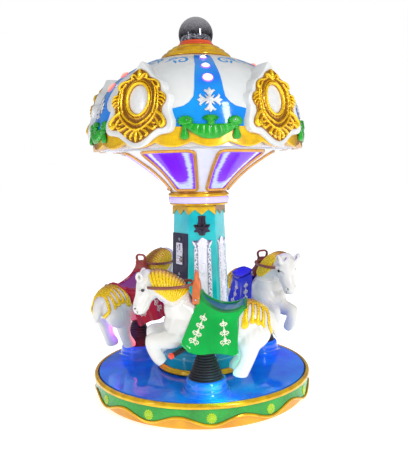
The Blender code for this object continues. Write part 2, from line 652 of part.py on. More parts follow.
def saddle_arch(share):
    """One arch of the saddle's top, from the right hem over the seat to the left hem."""
    dip = sin(pi * min(1.0, share * 1.08)) ** 0.7
    top = 0.726 - 0.048 * share - 0.082 * dip
    wide = 0.050 + 0.050 * sin(0.5 * pi * min(1.0, 1.6 * share)) - 0.020 * share ** 4
    edge = top + 0.016 * dip - 0.034 * share ** 4 - 0.014 * (1.0 - share) ** 4
    hem = 0.440 - 0.034 * share + 0.006 * cos(3.0 * pi * share)
    half = [(0.0, top), (0.55 * wide, 0.6 * top + 0.4 * edge), (wide, edge), (wide + 0.012, edge - 0.020),
            (0.5 * wide + 0.064, 0.5 * (edge + 0.556)), (0.124, 0.530), (0.142, 0.470), (0.160, hem)]
    x_top = saddle_front + (saddle_back - saddle_front) * share
    x_hem = hem_front + (hem_back - hem_front) * share
    arch = []
    for y, z in [(-y, z) for y, z in half[:0:-1]] + half:
        lower = max((flare_top - z) / (flare_top - hem), 0.0) ** (1.0 - 0.55 * share)
        arch.append(Vector((x_top + (x_hem - x_top) * lower, y, z)))
    return arch


def saddle_normal(row, column):
    """The way out from the saddle's top at one point of its arches."""
    back = arches[min(row + 1, saddle_steps)][column] - arches[max(row - 1, 0)][column]
    arch = arches[row]
    over = arch[min(column + 1, len(arch) - 1)] - arch[max(column - 1, 0)]
    return over.cross(back).normalized()


saddle = bmesh.new()
thickness = 0.010
arches = [saddle_arch(step / saddle_steps) for step in range(saddle_steps + 1)]
rings = []
for row, arch in enumerate(arches):
    lining = [point - thickness * saddle_normal(row, column) for column, point in enumerate(arch)]
    rings.append(arch + lining[::-1])
lofted(saddle, rings)
saddle_mesh = carved(smooth_mesh("saddle", saddle, 50.0), [horse_relief, grown(pegs_mesh, RELIEF)])

# Mane: a crest that hugs the neck from the poll to the withers, cut to a fan
mane_thickness = 0.010
mane = bmesh.new()
limb(mane, [(x, y, z, deep + mane_thickness, wide + mane_thickness) for x, y, z, deep, wide in neck_stations])
mane_edge = [(0.322, 0.900), (0.000, 0.950), (0.030, 0.716), (0.085, 0.694), (0.120, 0.667),
             (0.188, 0.662), (0.237, 0.693), (0.270, 0.738), (0.285, 0.792), (0.302, 0.843)]
fan = extruded(mane_edge, 0.3)
bmesh.ops.transform(fan, matrix=Matrix.Translation((0.0, -0.15, 0.0)), verts=fan.verts)
mane_mesh = carved(smooth_mesh("mane", mane, 60.0), [smooth_mesh("fan", fan)], "INTERSECT")
mane_mesh = carved(mane_mesh, [horse_relief])

# Handle: a forked plate that straddles the withers, with an open ring grip on top
handle_x = 0.040
handle_thickness = 0.026
handle_edge = [(0.000, 0.836), (0.029, 0.834), (0.042, 0.823), (0.042, 0.806), (0.034, 0.786), (0.030, 0.768),
               (0.036, 0.748), (0.056, 0.716), (0.074, 0.690), (0.078, 0.664), (0.070, 0.648), (0.056, 0.650),
               (0.046, 0.668), (0.030, 0.690), (0.014, 0.706), (0.000, 0.708)]
handle = extruded(mirrored(handle_edge), handle_thickness)
grip_edge = [(0.000, 0.826), (0.022, 0.824), (0.029, 0.816), (0.028, 0.803), (0.018, 0.789), (0.000, 0.785)]
grip = extruded(mirrored(grip_edge), 0.06)
bmesh.ops.transform(grip, matrix=Matrix.Translation((0.0, -0.02, 0.0)), verts=grip.verts)
handle_mesh = carved(smooth_mesh("handle", handle, 20.0), [smooth_mesh("grip", grip, 20.0)])
handle_seat = Matrix.Translation((handle_x + 0.5 * handle_thickness, 0.0, 0.0))
handle_mesh.transform(handle_seat @ Matrix.Rotation(pi / 2, 4, "Z"))
handle_mesh = carved(handle_mesh, [horse_relief, grown(mane_mesh, RELIEF)])

# Rein: a bent rod from the cheeks round the back of the mane
rein_path = [(0.322, 0.050, 0.756), (0.304, 0.072, 0.756), (0.266, 0.095, 0.757), (0.190, 0.105, 0.760),
             (0.125, 0.100, 0.764), (0.086, 0.076, 0.767), (0.071, 0.038, 0.768), (0.071, 0.000, 0.768)]
rein_path += [(x, -y, z) for x, y, z in rein_path[:-1][::-1]]
rein_mesh = carved(smooth_mesh("rein", rod(rein_path, 0.0055, 8), 50.0), [horse_relief])


# Bellows: a ribbed rubber cone between a mound and the horse's belly
def bellows(rise):
    """The bellows' mesh under a horse that stands a rise above its middle height."""
    low = MOUND_TOP + TOUCH
    high = BELLY + rise - TOUCH
    profile = [(0.0, low)]
    for step in range(2 * BELLOWS_RIDGES + 1):
        share = step / (2.0 * BELLOWS_RIDGES)
        radius = BELLOWS_FOOT + (BELLOWS_HEAD - BELLOWS_FOOT) * share - (0.005 if step % 2 else 0.0)
        profile.append((radius, low + (high - low) * share))
    profile.append((0.0, high))
    return smooth_mesh("bellows", turned(profile, 14), 60.0)


SADDLE_FINISH = (("green_gelcoat_saddle", (0, 150, 60), 0.15), ("blue_gelcoat_saddle", (20, 40, 220), 0.15),
                 ("red_gelcoat_saddle", (200, 40, 60), 0.15))
for index in range(HORSES):
    number = index + 1
    angle = index * 2.0 * pi / HORSES
    # The stand is on the mound's middle line, and the lift empty above it is the horse's axis
    stand = bpy.data.objects.new("horse_%d_stand" % number, None)
    bpy.context.collection.objects.link(stand)
    stand.parent = turntable
    stand.location = (HORSE_CIRCLE * sin(angle), -HORSE_CIRCLE * cos(angle), 0.0)
    stand.rotation_euler = (0.0, 0.0, angle + pi + HORSE_HEADING)
    lift = bpy.data.objects.new("horse_%d_lift_axis" % number, None)
    bpy.context.collection.objects.link(lift)
    lift.parent = stand
    lift.location = (0.0, 0.0, HORSE_RISE[index])
    place("horse_%d_body" % number, horse_body, WHITE, lift)
    place("horse_%d_mane" % number, mane_mesh, GOLD, lift)
    coloured = saddle_mesh.copy()
    coloured.materials.clear()
    place("horse_%d_saddle" % number, coloured, SADDLE_FINISH[index], lift)
    place("horse_%d_handle" % number, handle_mesh, ("brown_nylon", (120, 58, 50), 0.4), lift)
    place("horse_%d_rein" % number, rein_mesh, ("dark_nylon", (90, 55, 60), 0.4), lift)
    place("horse_%d_foot_pegs" % number, pegs_mesh, ("peg_rubber", (60, 35, 30), 0.5), lift)
    place("horse_%d_bellows" % number, bellows(HORSE_RISE[index]), ("black_rubber", (25, 25, 28), 0.5), stand)
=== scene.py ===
# Fairground carousel with three horses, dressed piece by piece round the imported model.
# Metres, +Z up, the origin on the floor under the middle of the column, -Y to the front.

import math
from math import cos, pi, radians, sin

import bmesh
import bpy
import numpy as np
from mathutils import Matrix, Vector
from mathutils.bvhtree import BVHTree


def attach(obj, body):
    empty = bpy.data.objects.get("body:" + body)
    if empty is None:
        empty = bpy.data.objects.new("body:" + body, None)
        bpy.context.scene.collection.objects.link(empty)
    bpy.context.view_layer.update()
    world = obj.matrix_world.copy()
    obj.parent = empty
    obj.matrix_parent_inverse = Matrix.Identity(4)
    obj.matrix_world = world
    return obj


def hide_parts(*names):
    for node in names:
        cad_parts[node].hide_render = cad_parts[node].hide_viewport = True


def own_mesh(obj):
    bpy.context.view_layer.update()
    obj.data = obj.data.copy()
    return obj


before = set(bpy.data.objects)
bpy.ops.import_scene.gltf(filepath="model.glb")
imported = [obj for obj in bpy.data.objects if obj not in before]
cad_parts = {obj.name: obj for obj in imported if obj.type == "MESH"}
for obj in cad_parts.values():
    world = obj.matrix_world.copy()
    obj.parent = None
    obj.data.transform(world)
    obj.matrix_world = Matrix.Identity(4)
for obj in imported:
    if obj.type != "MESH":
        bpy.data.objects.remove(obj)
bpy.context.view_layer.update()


# Studio: a white floor that runs out of sight, soft light from three sides, and a camera
# a little to the left of the column's front face, at an adult's chest height.
camera_azimuth = radians(-6.3)
camera_distance = 3.7237
camera_height = 1.390
camera_yaw = radians(0.459)
camera_pitch = radians(5.252)
camera_roll = radians(-1.04)
ahead = Vector((sin(camera_yaw) * cos(camera_pitch), cos(camera_yaw) * cos(camera_pitch), -sin(camera_pitch)))
right = Vector((cos(camera_yaw), -sin(camera_yaw), 0.0))
aim = Matrix((right, right.cross(ahead), -ahead)).transposed().to_4x4()
optics = bpy.data.cameras.new("camera")
optics.lens = 47.448
camera = bpy.data.objects.new("camera", optics)
camera.matrix_world = (Matrix.Rotation(camera_azimuth, 4, "Z")
                       @ Matrix.Translation((0.0, -camera_distance, camera_height))
                       @ aim @ Matrix.Rotation(camera_roll, 4, "Z"))
bpy.context.collection.objects.link(camera)
bpy.context.scene.camera = camera
bpy.context.scene.view_settings.view_transform = "Standard"


def srgb(code):
    """A colour written as sRGB hex, as the linear colour that the shaders take."""
    parts = [int(code[index:index + 2], 16) / 255.0 for index in (1, 3, 5)]
    linear = [part / 12.92 if part <= 0.04045 else ((part + 0.055) / 1.055) ** 2.4 for part in parts]
    return (*linear, 1.0)


def fill(node, values):
    """Fills inputs of a node by name or number: a socket is linked, and a number or colour
    is set."""
    for key, value in values.items():
        if isinstance(value, bpy.types.NodeSocket):
            node.id_data.links.new(value, node.inputs[key])
        else:
            node.inputs[key].default_value = value


def add(tree, kind, values=None, **settings):
    """A shader node. Settings are its own properties, and values go to its inputs."""
    made = tree.nodes.new("ShaderNode" + kind)
    for name, value in settings.items():
        setattr(made, name, value)
    fill(made, values or {})
    return made


def noise(tree, size_mm, detail, **more):
    """Fractal noise in a piece's own space, with clouds of a size in millimetres."""
    where = add(tree, "TexCoord").outputs["Object"]
    return add(tree, "TexNoise",
               {"Vector": where, "Scale": 1000.0 / size_mm, "Detail": detail, **more}).outputs[0]


def ranged(tree, value, low, high, at_low, at_high):
    """A value brought from one range to another."""
    return add(tree, "MapRange", {0: value, 1: low, 2: high, 3: at_low, 4: at_high}).outputs[0]


def blended(tree, share, colour, other):
    """A colour that goes from one to another by a share."""
    return add(tree, "Mix", {0: share, 6: colour, 7: other}, data_type="RGBA").outputs[2]


def ramp(tree, value, *stops):
    """A colour that runs through stops, each a place and a colour."""
    made = add(tree, "ValToRGB", {0: value})
    elements = made.color_ramp.elements
    for element, (place, colour) in zip(elements, (stops[0], stops[-1])):
        element.position = place
        element.color = colour
    for place, colour in stops[1:-1]:
        elements.new(place).color = colour
    return made.outputs[0]


def new_material(name):
    """An empty material of one Principled shader, and that shader."""
    material = bpy.data.materials.new(name)
    material.use_nodes = True
    return material, material.node_tree.nodes["Principled BSDF"]


# The floor is matt painted board, which keeps its own shade even.
floor_paint, floor_shader = new_material("matt_floor_paint")
fill(floor_shader, {"Base Color": srgb("#F2F2F4"), "Roughness": 0.8,
                    "Emission Color": srgb("#FFFFFF"), "Emission Strength": 0.62})
floor_mesh = bpy.data.meshes.new("floor")
floor_half = 40.0
floor_mesh.from_pydata([(x, y, -0.001) for x, y in ((-floor_half, -floor_half), (floor_half, -floor_half),
                                                     (floor_half, floor_half), (-floor_half, floor_half))],
                       [], [(0, 1, 2, 3)])
floor_mesh.materials.append(floor_paint)
floor = bpy.data.objects.new("floor", floor_mesh)
bpy.context.collection.objects.link(floor)

# The room is white to the eye, and to glossy surfaces a dimmer dome, darkest low down, so
# that gold and gelcoat have something darker to mirror.
room = bpy.data.worlds.new("room")
room.use_nodes = True
bpy.context.scene.world = room
sky = room.node_tree
sky.nodes.clear()
heading = add(sky, "SeparateXYZ", {0: add(sky, "TexCoord").outputs["Generated"]})
shade = ramp(sky, ranged(sky, heading.outputs["Z"], -1.0, 1.0, 0.0, 1.0),
             (0.40, (0.30, 0.30, 0.32, 1.0)), (0.80, (1.0, 1.0, 1.03, 1.0)))
seen = add(sky, "Background", {0: (1.0, 1.0, 1.0, 1.0), 1: 1.0})
rays = add(sky, "LightPath")
strength = ranged(sky, rays.outputs["Is Glossy Ray"], 0.0, 1.0, 0.70, 0.34)
felt = add(sky, "Background", {0: shade, 1: strength})
mixed = add(sky, "MixShader", {0: rays.outputs["Is Camera Ray"], 1: felt.outputs[0], 2: seen.outputs[0]})
add(sky, "OutputWorld", {0: mixed.outputs[0]})


area_height = 2.6


def lamp(name, kind, place, target, power, size, colour):
    """A studio light that points at a target. A point lamp leaves no disc in the gloss."""
    light = bpy.data.lights.new(name, kind)
    light.energy = power
    light.color = srgb(colour)[:3]
    made = bpy.data.objects.new(name, light)
    if kind == "AREA":
        light.shape = "RECTANGLE"
        light.size = size
        light.size_y = area_height
    else:
        light.shadow_soft_size = size
        made.visible_glossy = False
    made.location = place
    made.rotation_euler = (Vector(target) - Vector(place)).to_track_quat("-Z", "Y").to_euler()
    bpy.context.collection.objects.link(made)


lamp("key", "AREA", (1.6, -3.6, 2.6), (0.0, 0.0, 1.1), 60.0, 0.45, "#FFFFFF")
lamp("fill", "AREA", (-3.2, -2.2, 1.6), (0.0, 0.0, 1.0), 12.0, 0.4, "#F4F4FF")
lamp("back", "AREA", (1.2, 3.6, 2.8), (0.0, 0.0, 1.2), 34.0, 2.0, "#FFFFFF")
bpy.data.objects["back"].visible_glossy = False

# The ride's own coloured lamps: violet under the canopy, and red, green and blue low down
canopy_lamps = 6
canopy_lamp_circle = 0.38
canopy_lamp_height = 1.33
for index in range(canopy_lamps):
    turn = (index + 0.5) * 2.0 * pi / canopy_lamps
    place = (canopy_lamp_circle * sin(turn), -canopy_lamp_circle * cos(turn), canopy_lamp_height)
    lamp("canopy_glow_%d" % index, "POINT", place, (0.0, 0.0, 0.0), 0.8, 0.05, "#6A28FF")
for name, place, power, colour in (("red_glow", (-0.375, 0.105, 0.268), 1.1, "#FF1030"),
                                   ("green_glow", (0.145, -0.470, 0.275), 1.6, "#00FF50"),
                                   ("cyan_glow", (0.02, -0.66, 0.22), 1.0, "#00D8FF"),
                                   ("violet_glow", (-0.54, 0.10, 0.40), 0.8, "#8A30FF"),
                                   ("blue_glow", (0.55, 0.10, 0.40), 1.2, "#2058FF")):
    lamp(name, "POINT", place, (0.0, 0.0, 0.0), power, 0.03, colour)


# Base: a glass-fibre tub that stands on the floor. Its yellow gelcoat was sprayed into a
# polished mould, so it shines and shows the slow ripple of the laminate behind it.
touch = 0.0003
plinth_radius = 0.655
skirt_radius = 0.668
skirt_flare = 0.012
skirt_top = 0.121
wave_turn = radians(-2.3)
waves = 12
round_steps = 144


def turned(profile, steps=round_steps, shape=None):
    """A body turned about Z from points (radius, z) that run round its section. One that
    starts and ends on the axis is a solid. shape(angle, r, z) bends it."""
    build = bmesh.new()
    rings = []
    for radius, height in profile:
        if radius == 0.0:
            rings.append([build.verts.new((0.0, 0.0, height))])
            continue
        ring = []
        for step in range(steps):
            angle = 2.0 * pi * step / steps
            r, z = shape(angle, radius, height) if shape else (radius, height)
            ring.append(build.verts.new((r * sin(angle), -r * cos(angle), z)))
        rings.append(ring)
    closed = profile[0][0] > 0.0
    for low, high in zip(rings, rings[1:] + rings[:1]) if closed else zip(rings, rings[1:]):
        for step in range(steps):
            after = (step + 1) % steps
            corners = [low[step % len(low)], low[after % len(low)], high[after % len(high)],
                       high[step % len(high)]]
            build.faces.new(list(dict.fromkeys(corners)))
    return build


def rounded(points, radius, steps=4, closed=True):
    """An outline with its corners eased by a radius, as a mould's are."""
    corners = [Vector(point) for point in points]
    count = len(corners)
    eased = []
    for index, here in enumerate(corners):
        if not closed and index in (0, count - 1):
            eased.append(tuple(here))
            continue
        before = corners[index - 1] - here
        after = corners[(index + 1) % count] - here
        start = here + before.normalized() * min(radius, 0.45 * before.length)
        end = here + after.normalized() * min(radius, 0.45 * after.length)
        for step in range(steps + 1):
            share = step / steps
            eased.append(tuple(start.lerp(here, share).lerp(here.lerp(end, share), share)))
    return eased


def skinned(rings, capped=True, build=None):
    """A tube through rings of points, with its ends closed, in its own bmesh or in build."""
    build = build or bmesh.new()
    loops = [[build.verts.new(point) for point in ring] for ring in rings]
    count = len(loops[0])
    for low, high in zip(loops, loops[1:]):
        for index in range(count):
            after = (index + 1) % count
            build.faces.new([low[index], low[after], high[after], high[index]])
    if capped:
        build.faces.new(loops[0][::-1])
        build.faces.new(loops[-1])
    return build


def closed_mesh(name, build, sharp=32.0):
    """A mesh from a bmesh, faces out, smooth but at its sharp edges."""
    bmesh.ops.recalc_face_normals(build, faces=build.faces)
    if build.calc_volume(signed=True) < 0.0:
        bmesh.ops.reverse_faces(build, faces=build.faces)
    mesh = bpy.data.meshes.new(name)
    build.to_mesh(mesh)
    build.free()
    mesh.shade_smooth()
    mesh.set_sharp_from_angle(angle=radians(sharp))
    return mesh


def piece(name, shape, material, body="root", replaces=(), place=None, sharp=32.0):
    """An object from a bmesh or a mesh that rides on a body."""
    mesh = closed_mesh(name, shape, sharp) if isinstance(shape, bmesh.types.BMesh) else shape.copy()
    if place is not None:
        mesh.transform(place)
    mesh.materials.append(material)
    made = bpy.data.objects.new(name, mesh)
    bpy.context.collection.objects.link(made)
    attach(made, body)
    if replaces:
        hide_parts(*replaces)
    return made


def thinned(mesh, share, sharp=180.0):
    """A fine mesh with a share of its faces, most of the others taken where it is flat."""
    fine = bpy.data.objects.new("fine", mesh)
    bpy.context.collection.objects.link(fine)
    fine.modifiers.new("collapse", "DECIMATE").ratio = share
    result = bpy.data.meshes.new_from_object(fine.evaluated_get(bpy.context.evaluated_depsgraph_get()))
    bpy.data.objects.remove(fine)
    result.shade_smooth()
    result.set_sharp_from_angle(angle=radians(sharp))
    return result


def gelcoat(name, colour, deep, roughness=0.14, ripple_mm=45.0):
    """Polyester gelcoat, sprayed in a polished mould: a hard gloss with a faint cloud of
    deeper colour, hazed by hands and dust, over the laminate's slow ripple."""
    material, shader = new_material(name)
    tree = material.node_tree
    depth = ranged(tree, noise(tree, 160.0, 3.0), 0.35, 0.70, 0.0, 1.0)
    haze = noise(tree, 28.0, 6.0, Roughness=0.65)
    relief = add(tree, "Bump", {"Strength": 0.25, "Distance": 0.0009, "Height": noise(tree, ripple_mm, 1.0)})
    fill(shader, {"Base Color": blended(tree, depth, srgb(colour), srgb(deep)),
                  "Roughness": ranged(tree, haze, 0.35, 0.75, roughness * 0.7, roughness * 1.7),
                  "Normal": relief.outputs[0], "IOR": 1.52, "Coat Weight": 0.35, "Coat Roughness": 0.04})
    return material


yellow_gelcoat = gelcoat("moulded_yellow_gelcoat", "#F2B400", "#D98E00")
toe_in = 0.010
plinth_outline = [(0.0, 0.0), (plinth_radius - toe_in, 0.0), (plinth_radius, 0.012),
                  (plinth_radius, skirt_top), (plinth_radius - 0.03, skirt_top),
                  (plinth_radius - 0.03, 0.025), (0.0, 0.025)]
piece("plinth_tub", turned(rounded(plinth_outline, 0.006, closed=False)), yellow_gelcoat,
      replaces=["base_plinth"])


# Skirt: a green gelcoat band bonded round the tub, moulded with small diamond cushions,
# with a gold-lacquered lip along its wavy lower edge.
skirt_steps = 960
skirt_rows = 18
lip_height = 0.016
diamond_width = 0.040
diamond_depth = 0.0016
diamonds = round(2.0 * pi * skirt_radius / diamond_width)


wave_middle = 0.048
wave_rise = 0.020


def wave(angle):
    """The height of the lip's lower edge at an angle."""
    return wave_middle - wave_rise * cos(waves * (angle - wave_turn))


def skirt_face(height):
    """The skirt's radius at a height: it leans out to its foot."""
    return skirt_radius + skirt_flare * (skirt_top - height) / skirt_top


def skirt_point(angle, share):
    """A point (radius, z) on the skirt's face, a share of the way up from its wavy edge."""
    low = wave(angle) + lip_height
    height = low + (skirt_top - low) * share
    along = diamonds * angle / (2.0 * pi)
    up = height / diamond_width
    cushion = abs(sin(pi * (along + up)) * sin(pi * (along - up)))
    edge = min(1.0, 8.0 * min(share, 1.0 - share))
    return skirt_face(height) + diamond_depth * (math.sqrt(cushion) - 0.6) * edge, height


def skirt_section(angle, share_and_one, inner):
    """A point of the skirt's section, whose profile gives 1 plus the share up, and whether
    it lies on the tub."""
    radius, height = skirt_point(angle, share_and_one - 1.0)
    return (plinth_radius + touch if inner else radius), height


skirt_profile = [(1.0 + row / skirt_rows, 0.0) for row in range(skirt_rows + 1)] + [(2.0, 1.0), (1.0, 1.0)]
skirt = turned(skirt_profile, skirt_steps, skirt_section)
green_gelcoat = gelcoat("moulded_green_gelcoat", "#12B22C", "#048A1C")
piece("diamond_skirt", skirt, green_gelcoat, replaces=["base_skirt"])


def lacquer(name, colour, deep, metal=0.55, roughness=0.24, grazing_range=None):
    """Sprayed lacquer over moulded plastic: pearl flake in a clear coat, its tone wandering at random between
    bright and deep. The deep colour is also painted into the hollows as painted shade and, given a
    grazing_range, where the surface turns away from the camera as a painted dark reflection."""
    material, shader = new_material(name)
    tree = material.node_tree
    flake = noise(tree, 3.0, 2.0)
    # Painted shade: the ambient occlusion below darkens the colour in hollows and corners.
    hollow = add(tree, "AmbientOcclusion", {"Distance": 0.02}, samples=8)
    richness = ranged(tree, noise(tree, 60.0, 4.0), 0.35, 0.70, 0.0, 0.55)
    shadow = ranged(tree, hollow.outputs["AO"], 0.35, 0.95, 1.0, 0.0)
    most = add(tree, "Math", {0: richness, 1: shadow}, operation="MAXIMUM").outputs[0]
    # Painted dark reflection: faces turned away from the camera go toward the deep colour.
    if grazing_range:
        grazing_shade = ranged(tree, add(tree, "LayerWeight", {"Blend": 0.5}).outputs["Facing"], *grazing_range, 0.0, 0.9)
        most = add(tree, "Math", {0: most, 1: grazing_shade}, operation="MAXIMUM").outputs[0]
    relief = add(tree, "Bump", {"Strength": 0.12, "Distance": 0.0004, "Height": flake})
    fill(shader, {"Base Color": blended(tree, most, srgb(colour), srgb(deep)),
                  "Roughness": ranged(tree, flake, 0.3, 0.7, roughness * 0.8, roughness * 1.4),
                  "Normal": relief.outputs[0], "Metallic": metal, "Coat Weight": 0.4, "Coat Roughness": 0.06})
    return material


gold = lacquer("sprayed_gold_lacquer", "#FFCB00", "#A85A10", 0.42, 0.2)
lip_depth = 0.009
lip_outline = [(0.0, 0.0), (0.55 * lip_depth, 0.0), (lip_depth, 0.35 * lip_height),
               (0.85 * lip_depth, 0.7 * lip_height), (0.45 * lip_depth, lip_height - 0.0008),
               (0.0, lip_height - 0.0008)]
lip_section = rounded(lip_outline, 0.004, steps=2)


def lip_point(angle, r, z):
    """The lip's section, r from the skirt's face or on the tub, carried along the wave."""
    height = wave(angle)
    inner = r - 1.0 < 0.0002
    return (plinth_radius + touch if inner else skirt_face(height) + r - 1.0, height + z)


piece("wavy_lip", turned([(1.0 + r, z) for r, z in lip_section], skirt_steps // 2, lip_point), gold,
      replaces=["base_lip"])

# Sunburst badges: small moulded rosettes glued on the skirt over each low of the wave
sunburst_colour = gelcoat("moulded_lime_plastic", "#C6E22A", "#8CC810", 0.22)
sunburst_rays = 14
sunburst_radius = 0.029
sunburst_height = 0.074
sunburst_steps = 8 * sunburst_rays


def sunburst(centre_angle):
    """One rosette, laid on the skirt's face: rays, a groove, a ring and a domed middle."""
    rings = []
    for share, out in ((1.0, -0.002), (1.0, 0.0022), (0.72, 0.0030), (0.64, 0.0012), (0.56, 0.0038),
                       (0.44, 0.0038), (0.38, 0.0015), (0.30, 0.0030), (0.15, 0.0046)):
        ring = []
        for step in range(sunburst_steps):
            turn = 2.0 * pi * step / sunburst_steps
            ray = 1.0 - 0.26 * (1.0 - abs(cos(0.5 * sunburst_rays * turn))) if share > 0.9 else 1.0
            across = sunburst_radius * share * ray * sin(turn)
            height = sunburst_height + sunburst_radius * share * ray * cos(turn)
            radius = skirt_face(height) + out
            angle = centre_angle + across / skirt_radius
            ring.append((radius * sin(angle), -radius * cos(angle), height))
        rings.append(ring)
    return closed_mesh("sunburst", skinned(rings))


def joined(meshes):
    """One bmesh that holds several meshes side by side."""
    build = bmesh.new()
    for mesh in meshes:
        build.from_mesh(mesh)
    return build


badges = joined([sunburst(wave_turn + index * 2.0 * pi / waves) for index in range(waves)])
piece("sunburst_badges", badges, sunburst_colour)

# Rim: a gold-lacquered moulding round the deck, screwed down on the tub's edge
rim_radius = 0.671
rim_inside = 0.657
rim_low = skirt_top + touch
rim_outline = [(rim_inside, rim_low), (rim_radius, rim_low), (rim_radius + 0.011, rim_low + 0.005),
               (rim_radius + 0.012, rim_low + 0.019), (rim_radius + 0.004, rim_low + 0.030),
               (rim_radius - 0.007, rim_low + 0.033), (rim_inside, rim_low + 0.028)]
piece("deck_rim", turned(rounded(rim_outline, 0.006)), gold, replaces=["base_rim"])


# Turntable: a blue gelcoat deck with a raised mound under each horse, moulded in one and
# polished until it mirrors what stands on it. It turns about the hub.
deck_radius = 0.651
deck_top = 0.155
deck_low = 0.125
deck_hole = 0.262
horses = 3
horse_circle = 0.477
turntable_rest = radians(-3.6)
mound_radius = 0.116
mound_top = 0.234


def smeared(name, colour, metal, smear_mm, detail, cleanest, dullest, clean=0.4):
    """A polished surface of one colour, duller in the smears that hands and tools leave."""
    material, shader = new_material(name)
    tree = material.node_tree
    smear = noise(tree, smear_mm, detail)
    fill(shader, {"Base Color": srgb(colour), "Metallic": metal,
                  "Roughness": ranged(tree, smear, clean, 0.7, cleanest, dullest)})
    return material


# The slewing ring under the deck is a bearing of turned steel, as the frame has it.
turned_steel = smeared("turned_bearing_steel", "#90949A", 1.0, 6.0, 3.0, 0.26, 0.42, 0.3)
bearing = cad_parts["slew_ring"]
bearing.data.materials.clear()
bearing.data.materials.append(turned_steel)

blue_gelcoat = gelcoat("polished_blue_gelcoat", "#0A86F0", "#0A60E2", 0.07)
deck = turned(rounded([(deck_hole, deck_low), (deck_radius, deck_low), (deck_radius, deck_top),
                       (deck_hole, deck_top)], 0.006))
mound_outline = [(0.0, mound_top), (mound_radius - 0.010, mound_top), (mound_radius, mound_top - 0.012),
                 (mound_radius + 0.003, deck_top + 0.036), (mound_radius + 0.007, deck_top + 0.033),
                 (mound_radius + 0.010, deck_top + 0.010), (mound_radius + 0.030, deck_top + 0.0004),
                 (mound_radius + 0.030, deck_top - 0.004), (0.0, deck_top - 0.004)]
small_steps = 96
mound_mesh = closed_mesh("mound", turned(rounded(mound_outline, 0.010, closed=False), small_steps))
for index in range(horses):
    angle = turntable_rest + index * 2.0 * pi / horses
    copy = mound_mesh.copy()
    copy.transform(Matrix.Translation((horse_circle * sin(angle), -horse_circle * cos(angle), 0.0)))
    deck.from_mesh(copy)
piece("mounded_deck", deck, blue_gelcoat, "turntable", ["deck"])


# Hub: a teal gelcoat drum that stands still in the middle and carries the column, with a
# gold moulding round its foot.
hub_radius = 0.254
hub_top = 0.285
hub_foot = 0.026
teal_gelcoat = gelcoat("moulded_teal_gelcoat", "#12A8C0", "#0A7CA0", 0.12)
drum_outline = [(0.0, hub_foot), (hub_radius, hub_foot), (hub_radius, hub_top - 0.030),
                (hub_radius - 0.010, hub_top - 0.010), (hub_radius - 0.030, hub_top), (0.0, hub_top)]
piece("hub_drum_shell", turned(rounded(drum_outline, 0.012, closed=False)), teal_gelcoat,
      replaces=["hub_drum"])
ring_low = deck_top + 0.006
ring_outline = [(hub_radius + touch, ring_low), (hub_radius + 0.026, ring_low),
                (hub_radius + 0.028, ring_low + 0.010), (hub_radius + 0.019, ring_low + 0.013),
                (hub_radius + 0.018, ring_low + 0.019), (hub_radius + 0.010, ring_low + 0.028),
                (hub_radius + touch, ring_low + 0.030)]
piece("hub_foot_moulding", turned(rounded(ring_outline, 0.004)), gold, replaces=["hub_ring"])


# Column: a tapered six-sided post, folded from glass-fibre panels with eased corners, in
# turquoise gelcoat.
sides = 6
column_low = hub_top + touch
column_top = 1.176
column_foot = 0.194
column_head = 0.158


def column_radius(height):
    """The column's corner radius at a height."""
    return column_foot + (column_head - column_foot) * (height - column_low) / (column_top - column_low)


def hexagon(height, out=0.0, ease=0.010):
    """The column's outline at a height, moved out by a distance, with eased corners."""
    radius = column_radius(height) + out / cos(pi / sides)
    corners = []
    for index in range(sides):
        angle = pi / sides + index * 2.0 * pi / sides
        corners.append((radius * sin(angle), -radius * cos(angle), height))
    return rounded(corners, ease)


turquoise_gelcoat = gelcoat("moulded_turquoise_gelcoat", "#00D0C8", "#00B0B0", 0.13)
column_rows = 12
column_heights = [column_low + (column_top - column_low) * row / column_rows
                  for row in range(column_rows + 1)]
piece("column_shell", skinned([hexagon(height) for height in column_heights]), turquoise_gelcoat,
      replaces=["column"])


# Crown: a yellow moulding round the column's head, cut to teeth below: one hangs on each
# corner and one on each face.
crown_depth = 0.054
crown_thickness = 0.006
crown_steps = 12


def face_point(face, across, height, out):
    """A point on a column face: across it from its middle, at a height, out from it."""
    apothem = column_radius(height) * cos(pi / sides) + out
    angle = face * 2.0 * pi / sides
    return Vector((sin(angle) * apothem + cos(angle) * across, -cos(angle) * apothem + sin(angle) * across,
                   height))


crown_section = [(touch, 0.0), (crown_thickness - 0.002, 0.0), (crown_thickness, 0.003),
                 (crown_thickness, 0.97), (crown_thickness - 0.002, 1.0), (touch, 1.0)]
crown_rings = []
for out, level in crown_section:
    ring = []
    for face in range(sides):
        for step in range(4 * crown_steps):
            share = step / (4.0 * crown_steps)
            tooth = abs((4.0 * share) % 2.0 - 1.0)
            low = column_top - crown_depth * (0.38 + 0.62 * tooth)
            height = low + (column_top - low) * level
            half = (column_radius(height) + out / cos(pi / sides)) * sin(pi / sides)
            ring.append(face_point(face, half * (2.0 * share - 1.0), height, out))
    crown_rings.append(ring)
# Painted dark reflection: the crown's faces go brown where they turn away from the camera.
crown_yellow = lacquer("crown_lacquer_painted_edge_reflection", "#FFD400", "#84503C", 0.15, 0.2, (0.22, 0.60))
piece("toothed_crown", skinned(crown_rings + [crown_rings[0]], capped=False), crown_yellow,
      replaces=["column_crown"])


# Coin door: a folded steel door let on to the face left of the front, powder coated in
# indigo, with two cam locks and a pressed, chromed coin plate.
coin_face = -1
door_depth = 0.006


def chamfered(outline, levels, put):
    """A plate from an outline (x, z). Each level is (how far out, how far its edge is
    drawn in), and put(x, z, out) gives the place of a point."""
    count = len(outline)
    rings = []
    for out, inset in levels:
        ring = []
        for index, (x, z) in enumerate(outline):
            before, after = Vector(outline[index - 1]), Vector(outline[(index + 1) % count])
            along = (after - before).normalized()
            ring.append(put(x - along.y * inset, z + along.x * inset, out))
        rings.append(ring)
    return skinned(rings)


